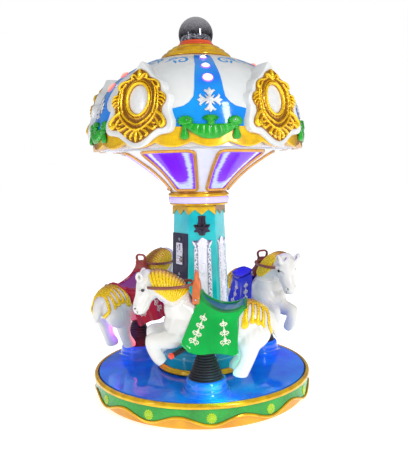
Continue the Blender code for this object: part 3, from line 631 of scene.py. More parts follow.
def oblong(half_width, low, high, corner=0.006, steps=4):
    """A rounded rectangle, anticlockwise from below."""
    return rounded([(-half_width, low), (half_width, low), (half_width, high), (-half_width, high)], corner,
                   steps)


def disc(x, z, radius, steps=24):
    """A round outline, anticlockwise."""
    return [(x + radius * sin(-2.0 * pi * step / steps), z + radius * cos(2.0 * pi * step / steps))
            for step in range(steps)]


def on_coin_face(x, z, out):
    """A point of the coin door's face."""
    return face_point(coin_face, x, z, out)


def enamel(name, colour, roughness, grain_mm=1.6):
    """Powder coat: thick and even, with the fine orange peel that the oven leaves."""
    material, shader = new_material(name)
    tree = material.node_tree
    relief = add(tree, "Bump", {"Strength": 0.2, "Distance": 0.0003, "Height": noise(tree, grain_mm, 1.0)})
    fill(shader,
         {"Base Color": srgb(colour), "Normal": relief.outputs[0],
          "Roughness": ranged(tree, noise(tree, 50.0, 5.0), 0.3, 0.7, roughness * 0.8, roughness * 1.3)})
    return material


indigo_enamel = enamel("indigo_powder_coat", "#0B0736", 0.42)
door_half = 0.5 * column_radius(0.83) * 0.92
door = chamfered(oblong(door_half, 0.650, 1.008),
                 [(touch, 0.0), (door_depth - 0.002, 0.0), (door_depth, 0.002)], on_coin_face)
piece("coin_door", door, indigo_enamel, replaces=["coin_panel"])

chrome = smeared("polished_chrome_plate", "#BEBCCA", 1.0, 25.0, 5.0, 0.06, 0.22)
plate_half = 0.5 * column_radius(0.88) * 0.40
plate_out = door_depth + 0.005
coin_plate = chamfered(oblong(plate_half, 0.815, 0.950, 0.008),
                       [(door_depth + touch, 0.0), (plate_out - 0.0015, 0.0), (plate_out, 0.0015)],
                       on_coin_face)
pressings = [(oblong(0.006, 0.905, 0.940, 0.004), 0.006), (disc(-0.020, 0.922, 0.009), 0.005),
             (oblong(0.024, 0.828, 0.868, 0.008), 0.007), (oblong(0.018, 0.834, 0.856, 0.005), 0.010),
             (disc(0.020, 0.895, 0.004), 0.003), (disc(-0.020, 0.895, 0.004), 0.003)]
for outline, rise in pressings:
    levels = [(plate_out - 0.001, 0.0), (plate_out + rise - 0.002, 0.0), (plate_out + rise, 0.002)]
    coin_plate.from_mesh(closed_mesh("pressing", chamfered(outline, levels, on_coin_face)))
piece("chromed_coin_plate", coin_plate, chrome, replaces=["coin_plate"])
for number, height in enumerate((0.757, 0.972)):
    lock = chamfered(disc(0.0, height, 0.011), [(door_depth - 0.001, 0.0), (door_depth + 0.004, 0.0),
                                                (door_depth + 0.006, 0.002), (door_depth + 0.006, 0.006),
                                                (door_depth + 0.0045, 0.007)], on_coin_face)
    piece("cam_lock_%d" % (number + 1), lock, turned_steel)


# Plaques: white carved-style mouldings, glued on the five other faces. A plain field
# stands between leafy borders, with an oval boss and two horns at the top.
def smooth_line(points, steps=6):
    """Points on a smooth curve through the given ones."""
    line = [np.array(point, dtype=float) for point in points]
    line = [2.0 * line[0] - line[1]] + line + [2.0 * line[-1] - line[-2]]
    curve = []
    for before, start, end, after in zip(line, line[1:], line[2:], line[3:]):
        for step in range(steps):
            t = step / steps
            curve.append(start + 0.5 * t * (end - before
                                            + t * (2.0 * before - 5.0 * start + 4.0 * end - after
                                                   + t * (3.0 * (start - end) + after - before))))
    curve.append(line[-2])
    return curve


def carving(points, strokes):
    """How far carved strokes stand up at points (x, z). A stroke is its line, its half
    widths at the start, middle and end, and its height."""
    rise = np.zeros(len(points))
    rows = np.arange(len(points))
    for line, widths, height in strokes:
        path = np.array(smooth_line(line, 4))
        starts, spans = path[:-1], path[1:] - path[:-1]
        offsets = points[:, None, :] - starts[None]
        shares = np.clip((offsets * spans).sum(2) / (spans ** 2).sum(1), 0.0, 1.0)
        distances = np.linalg.norm(offsets - shares[..., None] * spans, axis=2)
        nearest = distances.argmin(1)
        along = (nearest + shares[rows, nearest]) / len(spans)
        half = np.interp(along, (0.0, 0.5, 1.0), widths)
        crown = np.clip(1.0 - (distances[rows, nearest] / half) ** 2, 0.0, 1.0) ** 0.6
        rise = np.maximum(rise, height * crown * (half / max(widths)) ** 0.5)
    return rise


plaque_low = 0.400
plaque_horn = 0.984
plaque_wide = 0.62
plaque_columns = 44
plaque_rows = 190
plaque_back = 0.004


def plaque_point(u, v):
    """A point (x, z) of the plaque, u across from -1 to 1 and v up from 0 to 1."""
    top = plaque_horn - 0.029 * min(abs(u) / 0.72, 1.0) ** 2 + 0.012 * max(abs(u) - 0.78, 0.0) / 0.22
    low = plaque_low + 0.022 * abs(u) ** 2
    height = low + (top - low) * v
    half = 0.5 * column_radius(height) * plaque_wide
    half += 0.009 * max(0.0, 1.0 - abs(height - 0.958) / 0.020) ** 0.5
    for notch, reach in ((0.926, 0.012), (0.430, 0.014)):
        half -= 0.006 * max(0.0, 1.0 - abs(height - notch) / reach)
    return u * half, height


boss_height = 0.800
ring_turns = [pi * step / 8.0 for step in range(9)]
plaque_strokes = [([(0.0225 * sin(turn), boss_height + 0.030 * cos(turn)) for turn in ring_turns],
                   (0.004,) * 3, 0.0050),
                  ([(0.0, boss_height + 0.010), (0.0, boss_height - 0.010)], (0.013,) * 3, 0.0030),
                  ([(0.0, 0.925), (0.0, 0.948), (0.0, 0.979)], (0.003, 0.007, 0.003), 0.0060),
                  ([(0.0, 0.925), (0.010, 0.942), (0.016, 0.958), (0.013, 0.962)], (0.003, 0.005, 0.003),
                   0.0050),
                  ([(0.0, 0.925), (0.016, 0.932), (0.028, 0.944), (0.030, 0.952)], (0.003, 0.005, 0.003),
                   0.0050),
                  ([(0.044, 0.932), (0.051, 0.948), (0.059, 0.962)], (0.006, 0.007, 0.004), 0.0060),
                  ([(0.0, 0.925), (0.014, 0.918), (0.028, 0.922)], (0.003, 0.004, 0.003), 0.0040),
                  ([(0.0, 0.410), (0.0, 0.430), (0.0, 0.455)], (0.004, 0.008, 0.003), 0.0060),
                  ([(0.0, 0.420), (0.016, 0.430), (0.024, 0.450), (0.018, 0.462)], (0.004, 0.006, 0.003),
                   0.0050),
                  ([(0.029, 0.450), (0.028, 0.690), (0.026, 0.925)], (0.0016,) * 3, 0.0030),
                  ([(0.057, 0.445), (0.054, 0.690), (0.049, 0.925)], (0.0022,) * 3, 0.0035)]
for index in range(8):
    foot = 0.448 + 0.060 * index
    middle = 0.0435 - 0.0007 * index
    plaque_strokes += [([(middle - 0.006, foot), (middle + 0.007, foot + 0.014),
                         (middle + 0.004, foot + 0.030), (middle - 0.005, foot + 0.028),
                         (middle - 0.003, foot + 0.019)], (0.003, 0.004, 0.002), 0.005),
                       ([(middle + 0.005, foot + 0.018), (middle - 0.004, foot + 0.042),
                         (middle + 0.005, foot + 0.054), (middle + 0.008, foot + 0.044)],
                        (0.003, 0.004, 0.002), 0.005),
                       ([(middle + 0.002, foot + 0.004), (middle + 0.009, foot + 0.001)], (0.003,) * 3,
                        0.004)]
for foot in (0.520, 0.660):
    plaque_strokes += [([(0.0, foot), (0.0, foot + 0.045)], (0.002, 0.005, 0.002), 0.0035),
                       ([(0.0, foot), (0.014, foot + 0.018), (0.010, foot + 0.034)], (0.002, 0.004, 0.002),
                        0.0035),
                       ([(0.0, foot), (0.018, foot + 0.002), (0.022, foot + 0.016)], (0.002, 0.004, 0.002),
                        0.0035)]
spread = np.array([plaque_point(2.0 * column / plaque_columns - 1.0, row / plaque_rows)
                   for row in range(plaque_rows + 1) for column in range(plaque_columns + 1)])
rises = carving(np.abs(spread), plaque_strokes).reshape(plaque_rows + 1, plaque_columns + 1)
spread = spread.reshape(plaque_rows + 1, plaque_columns + 1, 2)
plaque_rings = []
for row in range(plaque_rows + 1):
    front = [face_point(0, x, z, plaque_back + rise - (0.002 if column in (0, plaque_columns) else 0.0))
             for column, ((x, z), rise) in enumerate(zip(spread[row], rises[row]))]
    ends = [face_point(0, spread[row][column][0], spread[row][column][1], touch)
            for column in (plaque_columns, 0)]
    plaque_rings.append(front + ends)
plaque_crease = 50.0
plaque_mesh = thinned(closed_mesh("plaque", skinned(plaque_rings), plaque_crease), 0.5, plaque_crease)


def measure(mesh, name, values):
    """Keeps a number for each point of a mesh, for its material to read."""
    kept = mesh.attributes.new(name, "FLOAT", "POINT")
    kept.data.foreach_set("value", np.asarray(values, dtype=np.float32))


def relief_shaded_lacquer(name, deep, middle, bright, metal=0.45):
    """Lacquer whose colour runs from deep to bright by a share that the mesh keeps for each point, broken by
    random patches: painted shade in the low parts and painted highlight on what stands up."""
    material, shader = new_material(name)
    tree = material.node_tree
    lit_share = add(tree, "Attribute", attribute_name="relief_lighting").outputs["Fac"]
    mottle = noise(tree, 9.0, 5.0)
    patchy = ranged(tree, mottle, 0.3, 0.7, -0.18, 0.18)
    shade_level = add(tree, "Math", {0: lit_share, 1: patchy}, operation="ADD").outputs[0]
    tint = ramp(tree, shade_level, (0.05, srgb(deep)), (0.35, srgb(middle)), (0.75, srgb(bright)))
    fill(shader, {"Base Color": tint, "Roughness": ranged(tree, mottle, 0.3, 0.7, 0.18, 0.36),
                  "Metallic": metal, "Coat Weight": 0.4, "Coat Roughness": 0.08})
    return material


# Painted shade and highlight: the plain field and what stands up in the borders are bright, the low parts of
# the carving deep.
plaque_field = 0.026
plaque_spots = np.array([(abs(vertex.co.x), vertex.co.z) for vertex in plaque_mesh.vertices])
plaque_heights = carving(plaque_spots, plaque_strokes) / 0.0050
measure(plaque_mesh, "relief_lighting", np.where(plaque_spots[:, 0] < plaque_field, 1.0, plaque_heights))
carved_white = relief_shaded_lacquer("white_lacquer_painted_relief_shade", "#8E93A0", "#D2D4DC", "#FAFBFD", 0.0)
for face in range(sides - 1):
    piece("carved_plaque_%d" % (face + 1), plaque_mesh, carved_white,
          place=Matrix.Rotation(face * 2.0 * pi / sides, 4, "Z"))


# Column ornament: a leafy crest over a ribbon, moulded in dark brown plastic and pinned
# above the front plaque.
def swept(build, stations, facing, steps=10, ends=True):
    """A rounded bar through stations (x, y, z, half width, half thickness). Its thickness
    lies along facing, a direction or a function that gives one at a point."""
    line = [np.array(station, dtype=float) for station in stations]
    if ends:
        for _ in range(2):
            line = line[::-1]
            along = line[0][:3] - line[1][:3]
            along /= np.linalg.norm(along)
            caps = []
            for turn in (80.0, 50.0, 25.0):
                cap = line[0].copy()
                cap[:3] += along * line[0][3:].min() * sin(radians(turn))
                cap[3:] *= cos(radians(turn))
                caps.append(cap)
            line = caps + line
    rings = []
    for index, station in enumerate(line):
        along = Vector(line[min(index + 1, len(line) - 1)][:3] - line[max(index - 1, 0)][:3]).normalized()
        normal = Vector(facing(Vector(station[:3])) if callable(facing) else facing)
        normal = (normal - normal.dot(along) * along).normalized()
        aside = along.cross(normal)
        rings.append([Vector(station[:3]) + aside * (station[3] * cos(2.0 * pi * step / steps))
                      + normal * (station[4] * sin(2.0 * pi * step / steps)) for step in range(steps)])
    skinned(rings, build=build)


def tapered(build, line, put, thin, swell, thick, facing, steps=10):
    """A leaf-like bar along a smooth line, widest at its middle. put(point) sets it on what
    carries it."""
    curve = smooth_line(line, 5)
    count = len(curve) - 1
    swept(build, [(*put(point), thin + swell * sin(pi * index / count), thick)
                  for index, point in enumerate(curve)], facing, steps)


def mirrored(edge):
    """A closed outline (x, z) from its right-hand half, top to bottom."""
    return list(edge) + [(-x, z) for x, z in edge[1:-1][::-1]]


dark_bronze = lacquer("dark_violet_brown_lacquer", "#3A2A40", "#18101E", 0.2, 0.3)
crest_edge = ((0.000, 1.118), (0.023, 1.117), (0.0245, 1.106), (0.0215, 1.096), (0.024, 1.078),
              (0.028, 1.062), (0.030, 1.050), (0.040, 1.056), (0.048, 1.066), (0.050, 1.056), (0.043, 1.046),
              (0.038, 1.036), (0.049, 1.026), (0.047, 1.017), (0.034, 1.018), (0.021, 1.012), (0.0175, 0.998),
              (0.000, 0.996))
crest = chamfered(rounded(mirrored(crest_edge)[::-1], 0.003), [(touch, 0.0), (0.003, 0.0), (0.005, 0.0016)],
                  lambda x, z, out: face_point(0, x, z, out))
crest_leaves = [[(0.0, 1.045), (0.0, 1.080), (0.0, 1.110)], [(0.005, 1.045), (0.011, 1.078), (0.012, 1.108)],
                [(0.008, 1.042), (0.019, 1.064), (0.019, 1.090)],
                [(0.010, 1.036), (0.024, 1.046), (0.034, 1.046)],
                [(0.0, 1.040), (0.014, 1.028), (0.020, 1.032), (0.016, 1.040)],
                [(0.0, 1.040), (0.0, 1.020), (0.0, 1.002)]]
crest_ribbon = [(0.0, 1.014), (0.014, 1.018), (0.030, 1.026), (0.042, 1.024)]
crest_out = 0.003
for side in (1.0, -1.0):
    for leaf in crest_leaves:
        tapered(crest, leaf, lambda spot: face_point(0, side * spot[0], spot[1], crest_out),
                0.0012, 0.0036, 0.0052, (0.0, -1.0, 0.0))
    ribbon = [(*face_point(0, side * x, z, crest_out), 0.0040, 0.0045)
              for x, z in smooth_line(crest_ribbon, 5)]
    swept(crest, ribbon, (0.0, -1.0, 0.0))
piece("column_crest", crest, dark_bronze)


# Capital: two gold turnings on the column's head, with a white acrylic light band let
# into the waist between them.
capital_low = column_top + touch
band_low = column_top + 0.017
band_top = 1.232
capital_top = 1.264
waist = 0.168
capital_radius = 0.187
capital_neck = 0.176
capital_outline = [(0.0, capital_low), (0.160, capital_low), (0.176, capital_low + 0.003),
                   (0.183, capital_low + 0.010), (0.181, band_low - touch), (waist, band_low - touch),
                   (waist, band_top + touch), (capital_radius, band_top + touch),
                   (capital_radius + 0.003, band_top + 0.008), (capital_radius + 0.001, band_top + 0.018),
                   (capital_neck, band_top + 0.024), (capital_neck, capital_top - touch),
                   (0.0, capital_top - touch)]
piece("capital_turnings", turned(rounded(capital_outline, 0.003, closed=False)), gold,
      replaces=["capital"])
band_face = capital_radius + 0.001
band_outline = [(waist + touch, band_low), (band_face - 0.004, band_low), (band_face, band_low + 0.006),
                (band_face + 0.001, 0.5 * (band_low + band_top)), (band_face, band_top - 0.006),
                (band_face - 0.004, band_top), (waist + touch, band_top)]


def lit(name, colour, glow, strength, roughness=0.2):
    """Lit acrylic: coloured lamps behind a milky sheet, brighter over each lamp."""
    material, shader = new_material(name)
    tree = material.node_tree
    cloud = noise(tree, 60.0, 2.0)
    fill(shader, {"Base Color": srgb(colour), "Roughness": roughness,
                  "Emission Color": blended(tree, cloud, srgb(glow), srgb(colour)),
                  "Emission Strength": ranged(tree, cloud, 0.3, 0.7, 0.6 * strength, 1.3 * strength)})
    return material


band_glow = lit("lit_milky_acrylic", "#D8CEF4", "#A88CFF", 0.12)
piece("acrylic_light_band", turned(rounded(band_outline, 0.003)), band_glow,
      replaces=["capital_light_band"])


# Funnel: a trumpet of white gelcoat with six windows between its ribs. Each window has a
# purple acrylic lens, lit from behind, in a rounded gold trim.
funnel_line = ((0.174, 1.264), (0.212, 1.306), (0.262, 1.357), (0.321, 1.406), (0.394, 1.456), (0.476, 1.507))
funnel_curve = np.array(smooth_line(funnel_line, 8))
funnel_wall = 0.012
rib_half = radians(8.7)
window_low = 0.06
window_high = 0.975
rib_steps = 8
window_steps = 22
funnel_rows = 40


def funnel_point(angle, share, inward=0.0):
    """A point on the funnel's line, an angle round and a share up, moved in."""
    place_on = share * (len(funnel_curve) - 1)
    index = min(int(place_on), len(funnel_curve) - 2)
    along = funnel_curve[index + 1] - funnel_curve[index]
    r, z = funnel_curve[index] + along * (place_on - index)
    along = along / np.linalg.norm(along)
    r -= inward * along[1]
    return Vector((r * sin(angle), -r * cos(angle), z + inward * along[0]))


bay_angle = 2.0 * pi / sides
funnel_angles = []
for index in range(sides):
    start = index * bay_angle - rib_half
    funnel_angles += [(start + 2.0 * rib_half * step / rib_steps, False) for step in range(rib_steps)]
    start += 2.0 * rib_half
    funnel_angles += [(start + (bay_angle - 2.0 * rib_half) * step / window_steps, True)
                      for step in range(window_steps)]
row_shares = [0.0, 0.03] + [window_low + (window_high - window_low) * row / funnel_rows
                            for row in range(funnel_rows + 1)] + [0.988, 1.0]
window_rows = range(2, 2 + funnel_rows)
frame_skin = bmesh.new()
outer = [[frame_skin.verts.new(funnel_point(angle, share)) for angle, _ in funnel_angles]
         for share in row_shares]
inner = [[frame_skin.verts.new(funnel_point(angle, share, funnel_wall)) for angle, _ in funnel_angles]
         for share in row_shares]
count = len(funnel_angles)
for row in range(len(row_shares) - 1):
    for column in range(count):
        after = (column + 1) % count
        if row in window_rows and funnel_angles[column][1]:
            continue
        frame_skin.faces.new([outer[row][column], outer[row][after], outer[row + 1][after],
                              outer[row + 1][column]])
        frame_skin.faces.new([inner[row][column], inner[row + 1][column], inner[row + 1][after],
                              inner[row][after]])
rim_edges = [edge for edge in frame_skin.edges if edge.is_boundary]
facing_pairs = {}
for skin, other in ((outer, inner), (inner, outer)):
    for row, verts in enumerate(skin):
        for column, vertex in enumerate(verts):
            facing_pairs[vertex] = other[row][column]
outer_verts = {vertex for verts in outer for vertex in verts}
for edge in rim_edges:
    one, two = edge.verts
    if one in outer_verts:
        frame_skin.faces.new([one, two, facing_pairs[two], facing_pairs[one]])
loose = [vertex for vertex in frame_skin.verts if not vertex.link_faces]
bmesh.ops.delete(frame_skin, geom=loose, context="VERTS")
white_gelcoat = gelcoat("moulded_white_gelcoat", "#E9EBE8", "#D9DDDD", 0.12)
piece("funnel_ribs", frame_skin, white_gelcoat, replaces=["funnel_frame"])

# The lens glows deep violet, with a pale streak where the lamps run behind its two sides
# and its foot
lens_glow, lens_shader = new_material("lit_violet_acrylic")
lens_tree = lens_glow.node_tree
lens_uv = add(lens_tree, "UVMap", uv_map="lens").outputs[0]
lens_map = add(lens_tree, "SeparateXYZ", {0: lens_uv})


def lens_math(operation, *values):
    """A sum on the lens's own map."""
    return add(lens_tree, "Math", dict(enumerate(values)), operation=operation).outputs[0]


aside = lens_math("ABSOLUTE", lens_math("MULTIPLY_ADD", lens_map.outputs["X"], 2.0, -1.0))
below = lens_math("SUBTRACT", 1.0, lens_map.outputs["Y"])
across = lens_math("POWER", lens_math("DIVIDE", aside, 0.66), 4.0)
downward = lens_math("POWER", lens_math("DIVIDE", below, 0.88), 4.0)
contour = lens_math("POWER", lens_math("ADD", across, downward), 0.25)
stretched = add(lens_tree, "Mapping", {0: lens_uv, 3: (1.5, 9.0, 1.0)}).outputs[0]
frost = add(lens_tree, "TexNoise", {"Vector": stretched, "Scale": 2.4, "Detail": 4.0}).outputs[0]
wander = ranged(lens_tree, frost, 0.3, 0.7, -0.07, 0.07)
off_streak = lens_math("ABSOLUTE", lens_math("ADD", lens_math("SUBTRACT", contour, 1.0), wander))
pale = ranged(lens_tree, off_streak, 0.20, 0.07, 0.0, 1.0)
violet = ramp(lens_tree, contour, (0.45, srgb("#5A00FF")), (1.0, srgb("#8448FF")))
fill(lens_shader, {"Base Color": srgb("#5A20E0"), "Roughness": 0.12, "Emission Strength": 0.85,
                   "Emission Color": blended(lens_tree, pale, violet, srgb("#D4F2FF"))})

lens_rows = 16
lens_columns = 20
lens_margin = radians(1.2)
lens_low = 0.03
lens_span = 0.955
lens_belly = 0.012
for index in range(sides):
    middle = (index + 0.5) * bay_angle
    half = 0.5 * bay_angle - rib_half + lens_margin
    lens = bmesh.new()
    uv_layer = lens.loops.layers.uv.new("lens")
    skins = []
    for inward in (funnel_wall - 0.007, funnel_wall - 0.001):
        skin = []
        for row in range(lens_rows + 1):
            v = row / lens_rows
            verts = []
            for column in range(lens_columns + 1):
                u = 2.0 * column / lens_columns - 1.0
                bulge = lens_belly * (1.0 - u ** 4) * sin(pi * v) ** 0.5
                verts.append(lens.verts.new(funnel_point(middle + half * u, lens_low + lens_span * v,
                                                         inward - bulge)))
            skin.append(verts)
        skins.append(skin)
    for skin in skins:
        for row in range(lens_rows):
            for column in range(lens_columns):
                corners = [(row, column), (row, column + 1), (row + 1, column + 1), (row + 1, column)]
                face = lens.faces.new([skin[r][c] for r, c in corners])
                for loop, (r, c) in zip(face.loops, corners):
                    loop[uv_layer].uv = (c / lens_columns, r / lens_rows)
    border = [(0, c) for c in range(lens_columns)] + [(r, lens_columns) for r in range(lens_rows)]
    border += [(lens_rows, c) for c in range(lens_columns, 0, -1)] + [(r, 0) for r in range(lens_rows, 0, -1)]
    for (r, c), (r2, c2) in zip(border, border[1:] + border[:1]):
        lens.faces.new([skins[0][r][c], skins[0][r2][c2], skins[1][r2][c2], skins[1][r][c]])
    piece("window_lens_%d" % (index + 1), lens, lens_glow,
          replaces=["lamp_cone"] if index == 0 else ())

trim_radius = 0.0112
trim_turn = 0.8
trims = bmesh.new()


def funnel_facing(point):
    """Straight out of the funnel at a point."""
    angle = math.atan2(point.x, -point.y)
    low = funnel_point(angle, 0.4)
    return low - funnel_point(angle, 0.4, 0.01)


for index in range(sides):
    middle = (index + 0.5) * bay_angle
    half = 0.5 * bay_angle - rib_half
    corners = [(-half, window_low), (half, window_low), (half, window_high), (-half, window_high)]
    eased = [(a / trim_turn, s) for a, s in rounded([(a * trim_turn, s) for a, s in corners], 0.08)]
    loop = []
    for (a0, s0), (a1, s1) in zip(eased, eased[1:] + eased[:1]):
        parts = 1 + int(24 * math.hypot((a1 - a0) * trim_turn, s1 - s0))
        loop += [(a0 + (a1 - a0) * step / parts, s0 + (s1 - s0) * step / parts) for step in range(parts)]
    path = [(*funnel_point(middle + angle, share, -0.003), trim_radius, trim_radius * 0.8)
            for angle, share in loop]
    swept(trims, path + path[:1], funnel_facing)
# The trims' lacquer goes darker where it turns away from the camera, a painted dark reflection.
copper_lacquer = lacquer("sprayed_copper_lacquer", "#F0B040", "#9A5A30", 0.4, 0.22, grazing_range=(0.35, 0.80))
piece("window_trims", trims, copper_lacquer)


# Roof: a dome of white gelcoat, laid up in one mould, hollow below its ceiling.
canopy_radius = 0.632
canopy_edge = 1.512
band_high = 1.619
bays = 5
dome_points = [(0.636, 1.600), (0.632, 1.640), (0.624, 1.690), (0.603, 1.770), (0.560, 1.850), (0.495, 1.922),
               (0.405, 1.984), (0.300, 2.036), (0.212, 2.064), (0.150, 2.066)]
dome_curve = np.array(smooth_line(dome_points, 6))
ceiling = funnel_point(0.0, 1.0, funnel_wall)[2] + 2.0 * touch
dome_outline = [(0.0, ceiling), (canopy_radius - 0.028, ceiling), (canopy_radius - 0.028, 1.580),
                (0.630, 1.580)]
dome_outline += [tuple(point) for point in dome_curve] + [(0.0, 2.066)]
piece("dome_shell", turned(dome_outline), white_gelcoat, replaces=["roof_dome"])


def dome_point(angle, height, out=0.0):
    """A point on the dome at an angle and a height, moved out along its slope."""
    radius = float(np.interp(height, dome_curve[:, 1], dome_curve[:, 0]))
    higher = float(np.interp(height + 0.01, dome_curve[:, 1], dome_curve[:, 0]))
    lower = float(np.interp(height - 0.01, dome_curve[:, 1], dome_curve[:, 0]))
    slope = Vector((0.02, lower - higher)).normalized()
    radius += out * slope.x
    return Vector((radius * sin(angle), -radius * cos(angle), height + out * slope.y))


def dome_facing(point):
    """Straight out of the dome at a point."""
    angle = math.atan2(point.x, -point.y)
    return dome_point(angle, point.z, 0.01) - dome_point(angle, point.z)


# Blue panels: a bell-shaped field let into each bay of the dome and sprayed blue
panel_edge = ((1.618, 17.7), (1.657, 18.5), (1.690, 19.2), (1.7100, 19.0), (1.7170, 17.0), (1.722, 13.3),
              (1.745, 10.1), (1.774, 8.0), (1.813, 7.6), (1.887, 7.5), (1.966, 7.3), (2.045, 8.9))
panel_rows = 70
panel_low = 1.614
panel_high = 2.047
panel_heights = [panel_low + (panel_high - panel_low) * row / panel_rows for row in range(panel_rows + 1)]
panel_columns = 26
panel_rise = 0.0016
panel_blue = gelcoat("sprayed_azure_gelcoat", "#0098EA", "#0078EA", 0.10)
for bay in range(bays):
    rings = []
    for height in panel_heights:
        half = radians(float(np.interp(height, [z for z, _ in panel_edge], [a for _, a in panel_edge])))
        ring = []
        for column in range(-1, panel_columns + 2):
            share = min(max(column, 0), panel_columns) / panel_columns * 2.0 - 1.0
            out = -0.002 if column in (-1, panel_columns + 1) else panel_rise
            ring.append(dome_point(bay * 2.0 * pi / bays + half * share, height, out))
        rings.append(ring)
    piece("azure_panel_%d" % (bay + 1), skinned(rings), panel_blue)


# Valance: a band of gold-lacquered plastic screwed round the canopy's edge, with its
# lower edge moulded in shallow scallops.
scallops = 4 * bays
scallop_depth = 0.027
valance_outline = [(0.606, 0.0), (0.634, 0.0), (0.638, 0.08), (0.637, 0.9), (0.641, 0.93), (0.641, 0.99),
                   (0.634, 1.0), (0.606, 1.0)]


def valance_shape(angle, r, level):
    """A point of the valance: level runs from its scalloped edge up to its top."""
    petal = abs(cos(0.5 * scallops * angle))
    low = canopy_edge + scallop_depth * (1.0 - petal)
    swell = 0.004 * petal * (1.0 - level) ** 0.5 if r > 0.62 else 0.0
    return r + swell, low + (band_high - low) * level


# The valance's gold goes brown where it turns away from the camera, a painted dark reflection.
valance_gold = lacquer("valance_gold_painted_edge_reflection", "#FFD000", "#A06030", 0.25, 0.22, grazing_range=(0.35, 0.80))
valance_steps = 320
piece("scalloped_valance", turned(rounded(valance_outline, 0.004), valance_steps, valance_shape),
      valance_gold)


# Swags: green drapery cast in soft plastic, one in each bay, gathered to a bow in the
# middle and to a knot with a tassel at each end, and held by small domed screws.
swag_half = radians(11.8)
swag_edge = ((0.0, 1.5535), (4.0, 1.558), (6.8, 1.574), (9.1, 1.588), (11.8, 1.610))
tassel_line = ((1.626, 0.009), (1.612, 0.013), (1.604, 0.010), (1.592, 0.015), (1.572, 0.021), (1.558, 0.019),
               (1.551, 0.011))
swag = bmesh.new()
swag_rings = []
swag_columns = 84
swag_rows = 20
swag_end = 11.8
for column in range(swag_columns + 1):
    u = 2.0 * column / swag_columns - 1.0
    top = 1.628 + 0.012 * abs(u) ** 3
    low = float(np.interp(abs(u) * swag_end, [a for a, _ in swag_edge], [z for _, z in swag_edge]))
    ring = [dome_point(swag_half * u, top, 0.003)]
    for row in range(swag_rows + 1):
        v = row / swag_rows
        pleat = 0.0035 * abs(sin(4.5 * pi * u * (1.0 - 0.2 * v))) ** 0.8
        pleat += 0.0025 * abs(sin(3.5 * pi * v)) * abs(u)
        ring.append(dome_point(swag_half * u, top + (low - top) * v,
                               0.008 + 0.007 * sin(pi * v) ** 0.6 + pleat))
    ring.append(dome_point(swag_half * u, low, 0.003))
    swag_rings.append(ring)
swag.from_mesh(closed_mesh("drape", skinned(swag_rings)))


knot_turns = [2.0 * pi * step / 72.0 for step in range(72)]
tassel_turns = [2.0 * pi * step / 54.0 for step in range(54)]
tassel_folds = 9.0


def gathered(angle, height, wide, high, folds):
    """A round knot of pleated cloth on the dome: half its width and height, and its folds."""
    rings = []
    for share, out in ((1.0, 0.002), (1.0, 0.008), (0.9, 0.015), (0.7, 0.020), (0.45, 0.0225), (0.2, 0.0215)):
        ring = []
        for turn in knot_turns:
            fold = cos(folds * turn)
            reach = share * (1.0 + 0.05 * fold)
            ring.append(dome_point(angle + wide * reach * cos(turn) / canopy_radius,
                                   height + high * reach * sin(turn),
                                   out + 0.0018 * fold * share if out > 0.002 else out))
        rings.append(ring)
    swag.from_mesh(closed_mesh("knot", skinned(rings)))


gathered(0.0, 1.640, 0.021, 0.024, 7)
gathered(0.0, 1.6600, 0.042, 0.0160, 15)
for side in (1.0, -1.0):
    gathered(side * swag_half, 1.645, 0.041, 0.027, 13)
    rings = []
    for height, wide in smooth_line(tassel_line, 4):
        ring = []
        for turn in tassel_turns:
            fold = cos(tassel_folds * turn)
            across = wide * (1.0 + 0.06 * fold) * cos(turn)
            ring.append(dome_point(side * radians(12.2) + across / canopy_radius, height,
                                   0.012 + 0.6 * wide * (1.0 + 0.10 * fold) * sin(turn)))
        rings.append(ring)
    swag.from_mesh(closed_mesh("tassel", skinned(rings)))
swag_mesh = thinned(closed_mesh("swag", swag, 50.0), 0.6, 50.0)


def dome_seat(angle, height, out=0.0):
    """Moves a piece made facing +Z to the dome, facing straight out of it."""
    seat = dome_point(angle, height, out)
    turn = Vector((0.0, 0.0, 1.0)).rotation_difference(dome_facing(seat))
    return Matrix.Translation(seat) @ turn.to_matrix().to_4x4()


screw_mesh = closed_mesh("screw", turned([(0.0, -0.003), (0.0042, -0.003), (0.0042, 0.0005), (0.0030, 0.0020),
                                          (0.0012, 0.0026), (0.0, 0.0026)], 20))
swag_screws = bmesh.new()
for angle, height, out in ((0.0, 1.6145, 0.0160), (radians(11.2), 1.649, 0.0228),
                           (radians(-11.2), 1.649, 0.0228)):
    copy = screw_mesh.copy()
    copy.transform(dome_seat(angle, height, out))
    swag_screws.from_mesh(copy)
swag_screw_mesh = closed_mesh("swag_screws", swag_screws)
swag_green = lacquer("cast_green_plastic", "#00AE14", "#00660E", 0.0, 0.26)


# Roof lamps: milky acrylic domes in clear rims, three up the middle of each blue panel
lamp_glow = (lit("lit_white_acrylic", "#FFFFFF", "#FAF4FF", 1.25),
             lit("lit_coral_acrylic", "#FF8A78", "#FFB0A0", 1.0))
rim_glow = (lit("lit_violet_rim", "#A870FF", "#9058FF", 0.75),
            lit("lit_coral_rim", "#FF7060", "#FF9080", 0.7))
lamp_domes = bmesh.new()
lamp_rims = bmesh.new()
for height, radius in ((2.0125, 0.0165), (1.9506, 0.0205), (1.8766, 0.0255)):
    dome = closed_mesh("dome",
                       turned([(0.0, -0.003), (radius, -0.003), (radius, 0.004), (0.92 * radius, 0.007),
                               (0.72 * radius, 0.011), (0.4 * radius, 0.0135), (0.0, 0.0145)], 48))
    rim = closed_mesh("rim", turned(rounded([(radius + touch, -0.003), (radius + 0.006, -0.003),
                                             (radius + 0.0055, 0.005), (radius + touch, 0.006)], 0.002), 48))
    for shape, build in ((dome, lamp_domes), (rim, lamp_rims)):
        shape.transform(dome_seat(0.0, height, 0.002))
        build.from_mesh(shape)
lamp_dome_mesh = closed_mesh("domes", lamp_domes)
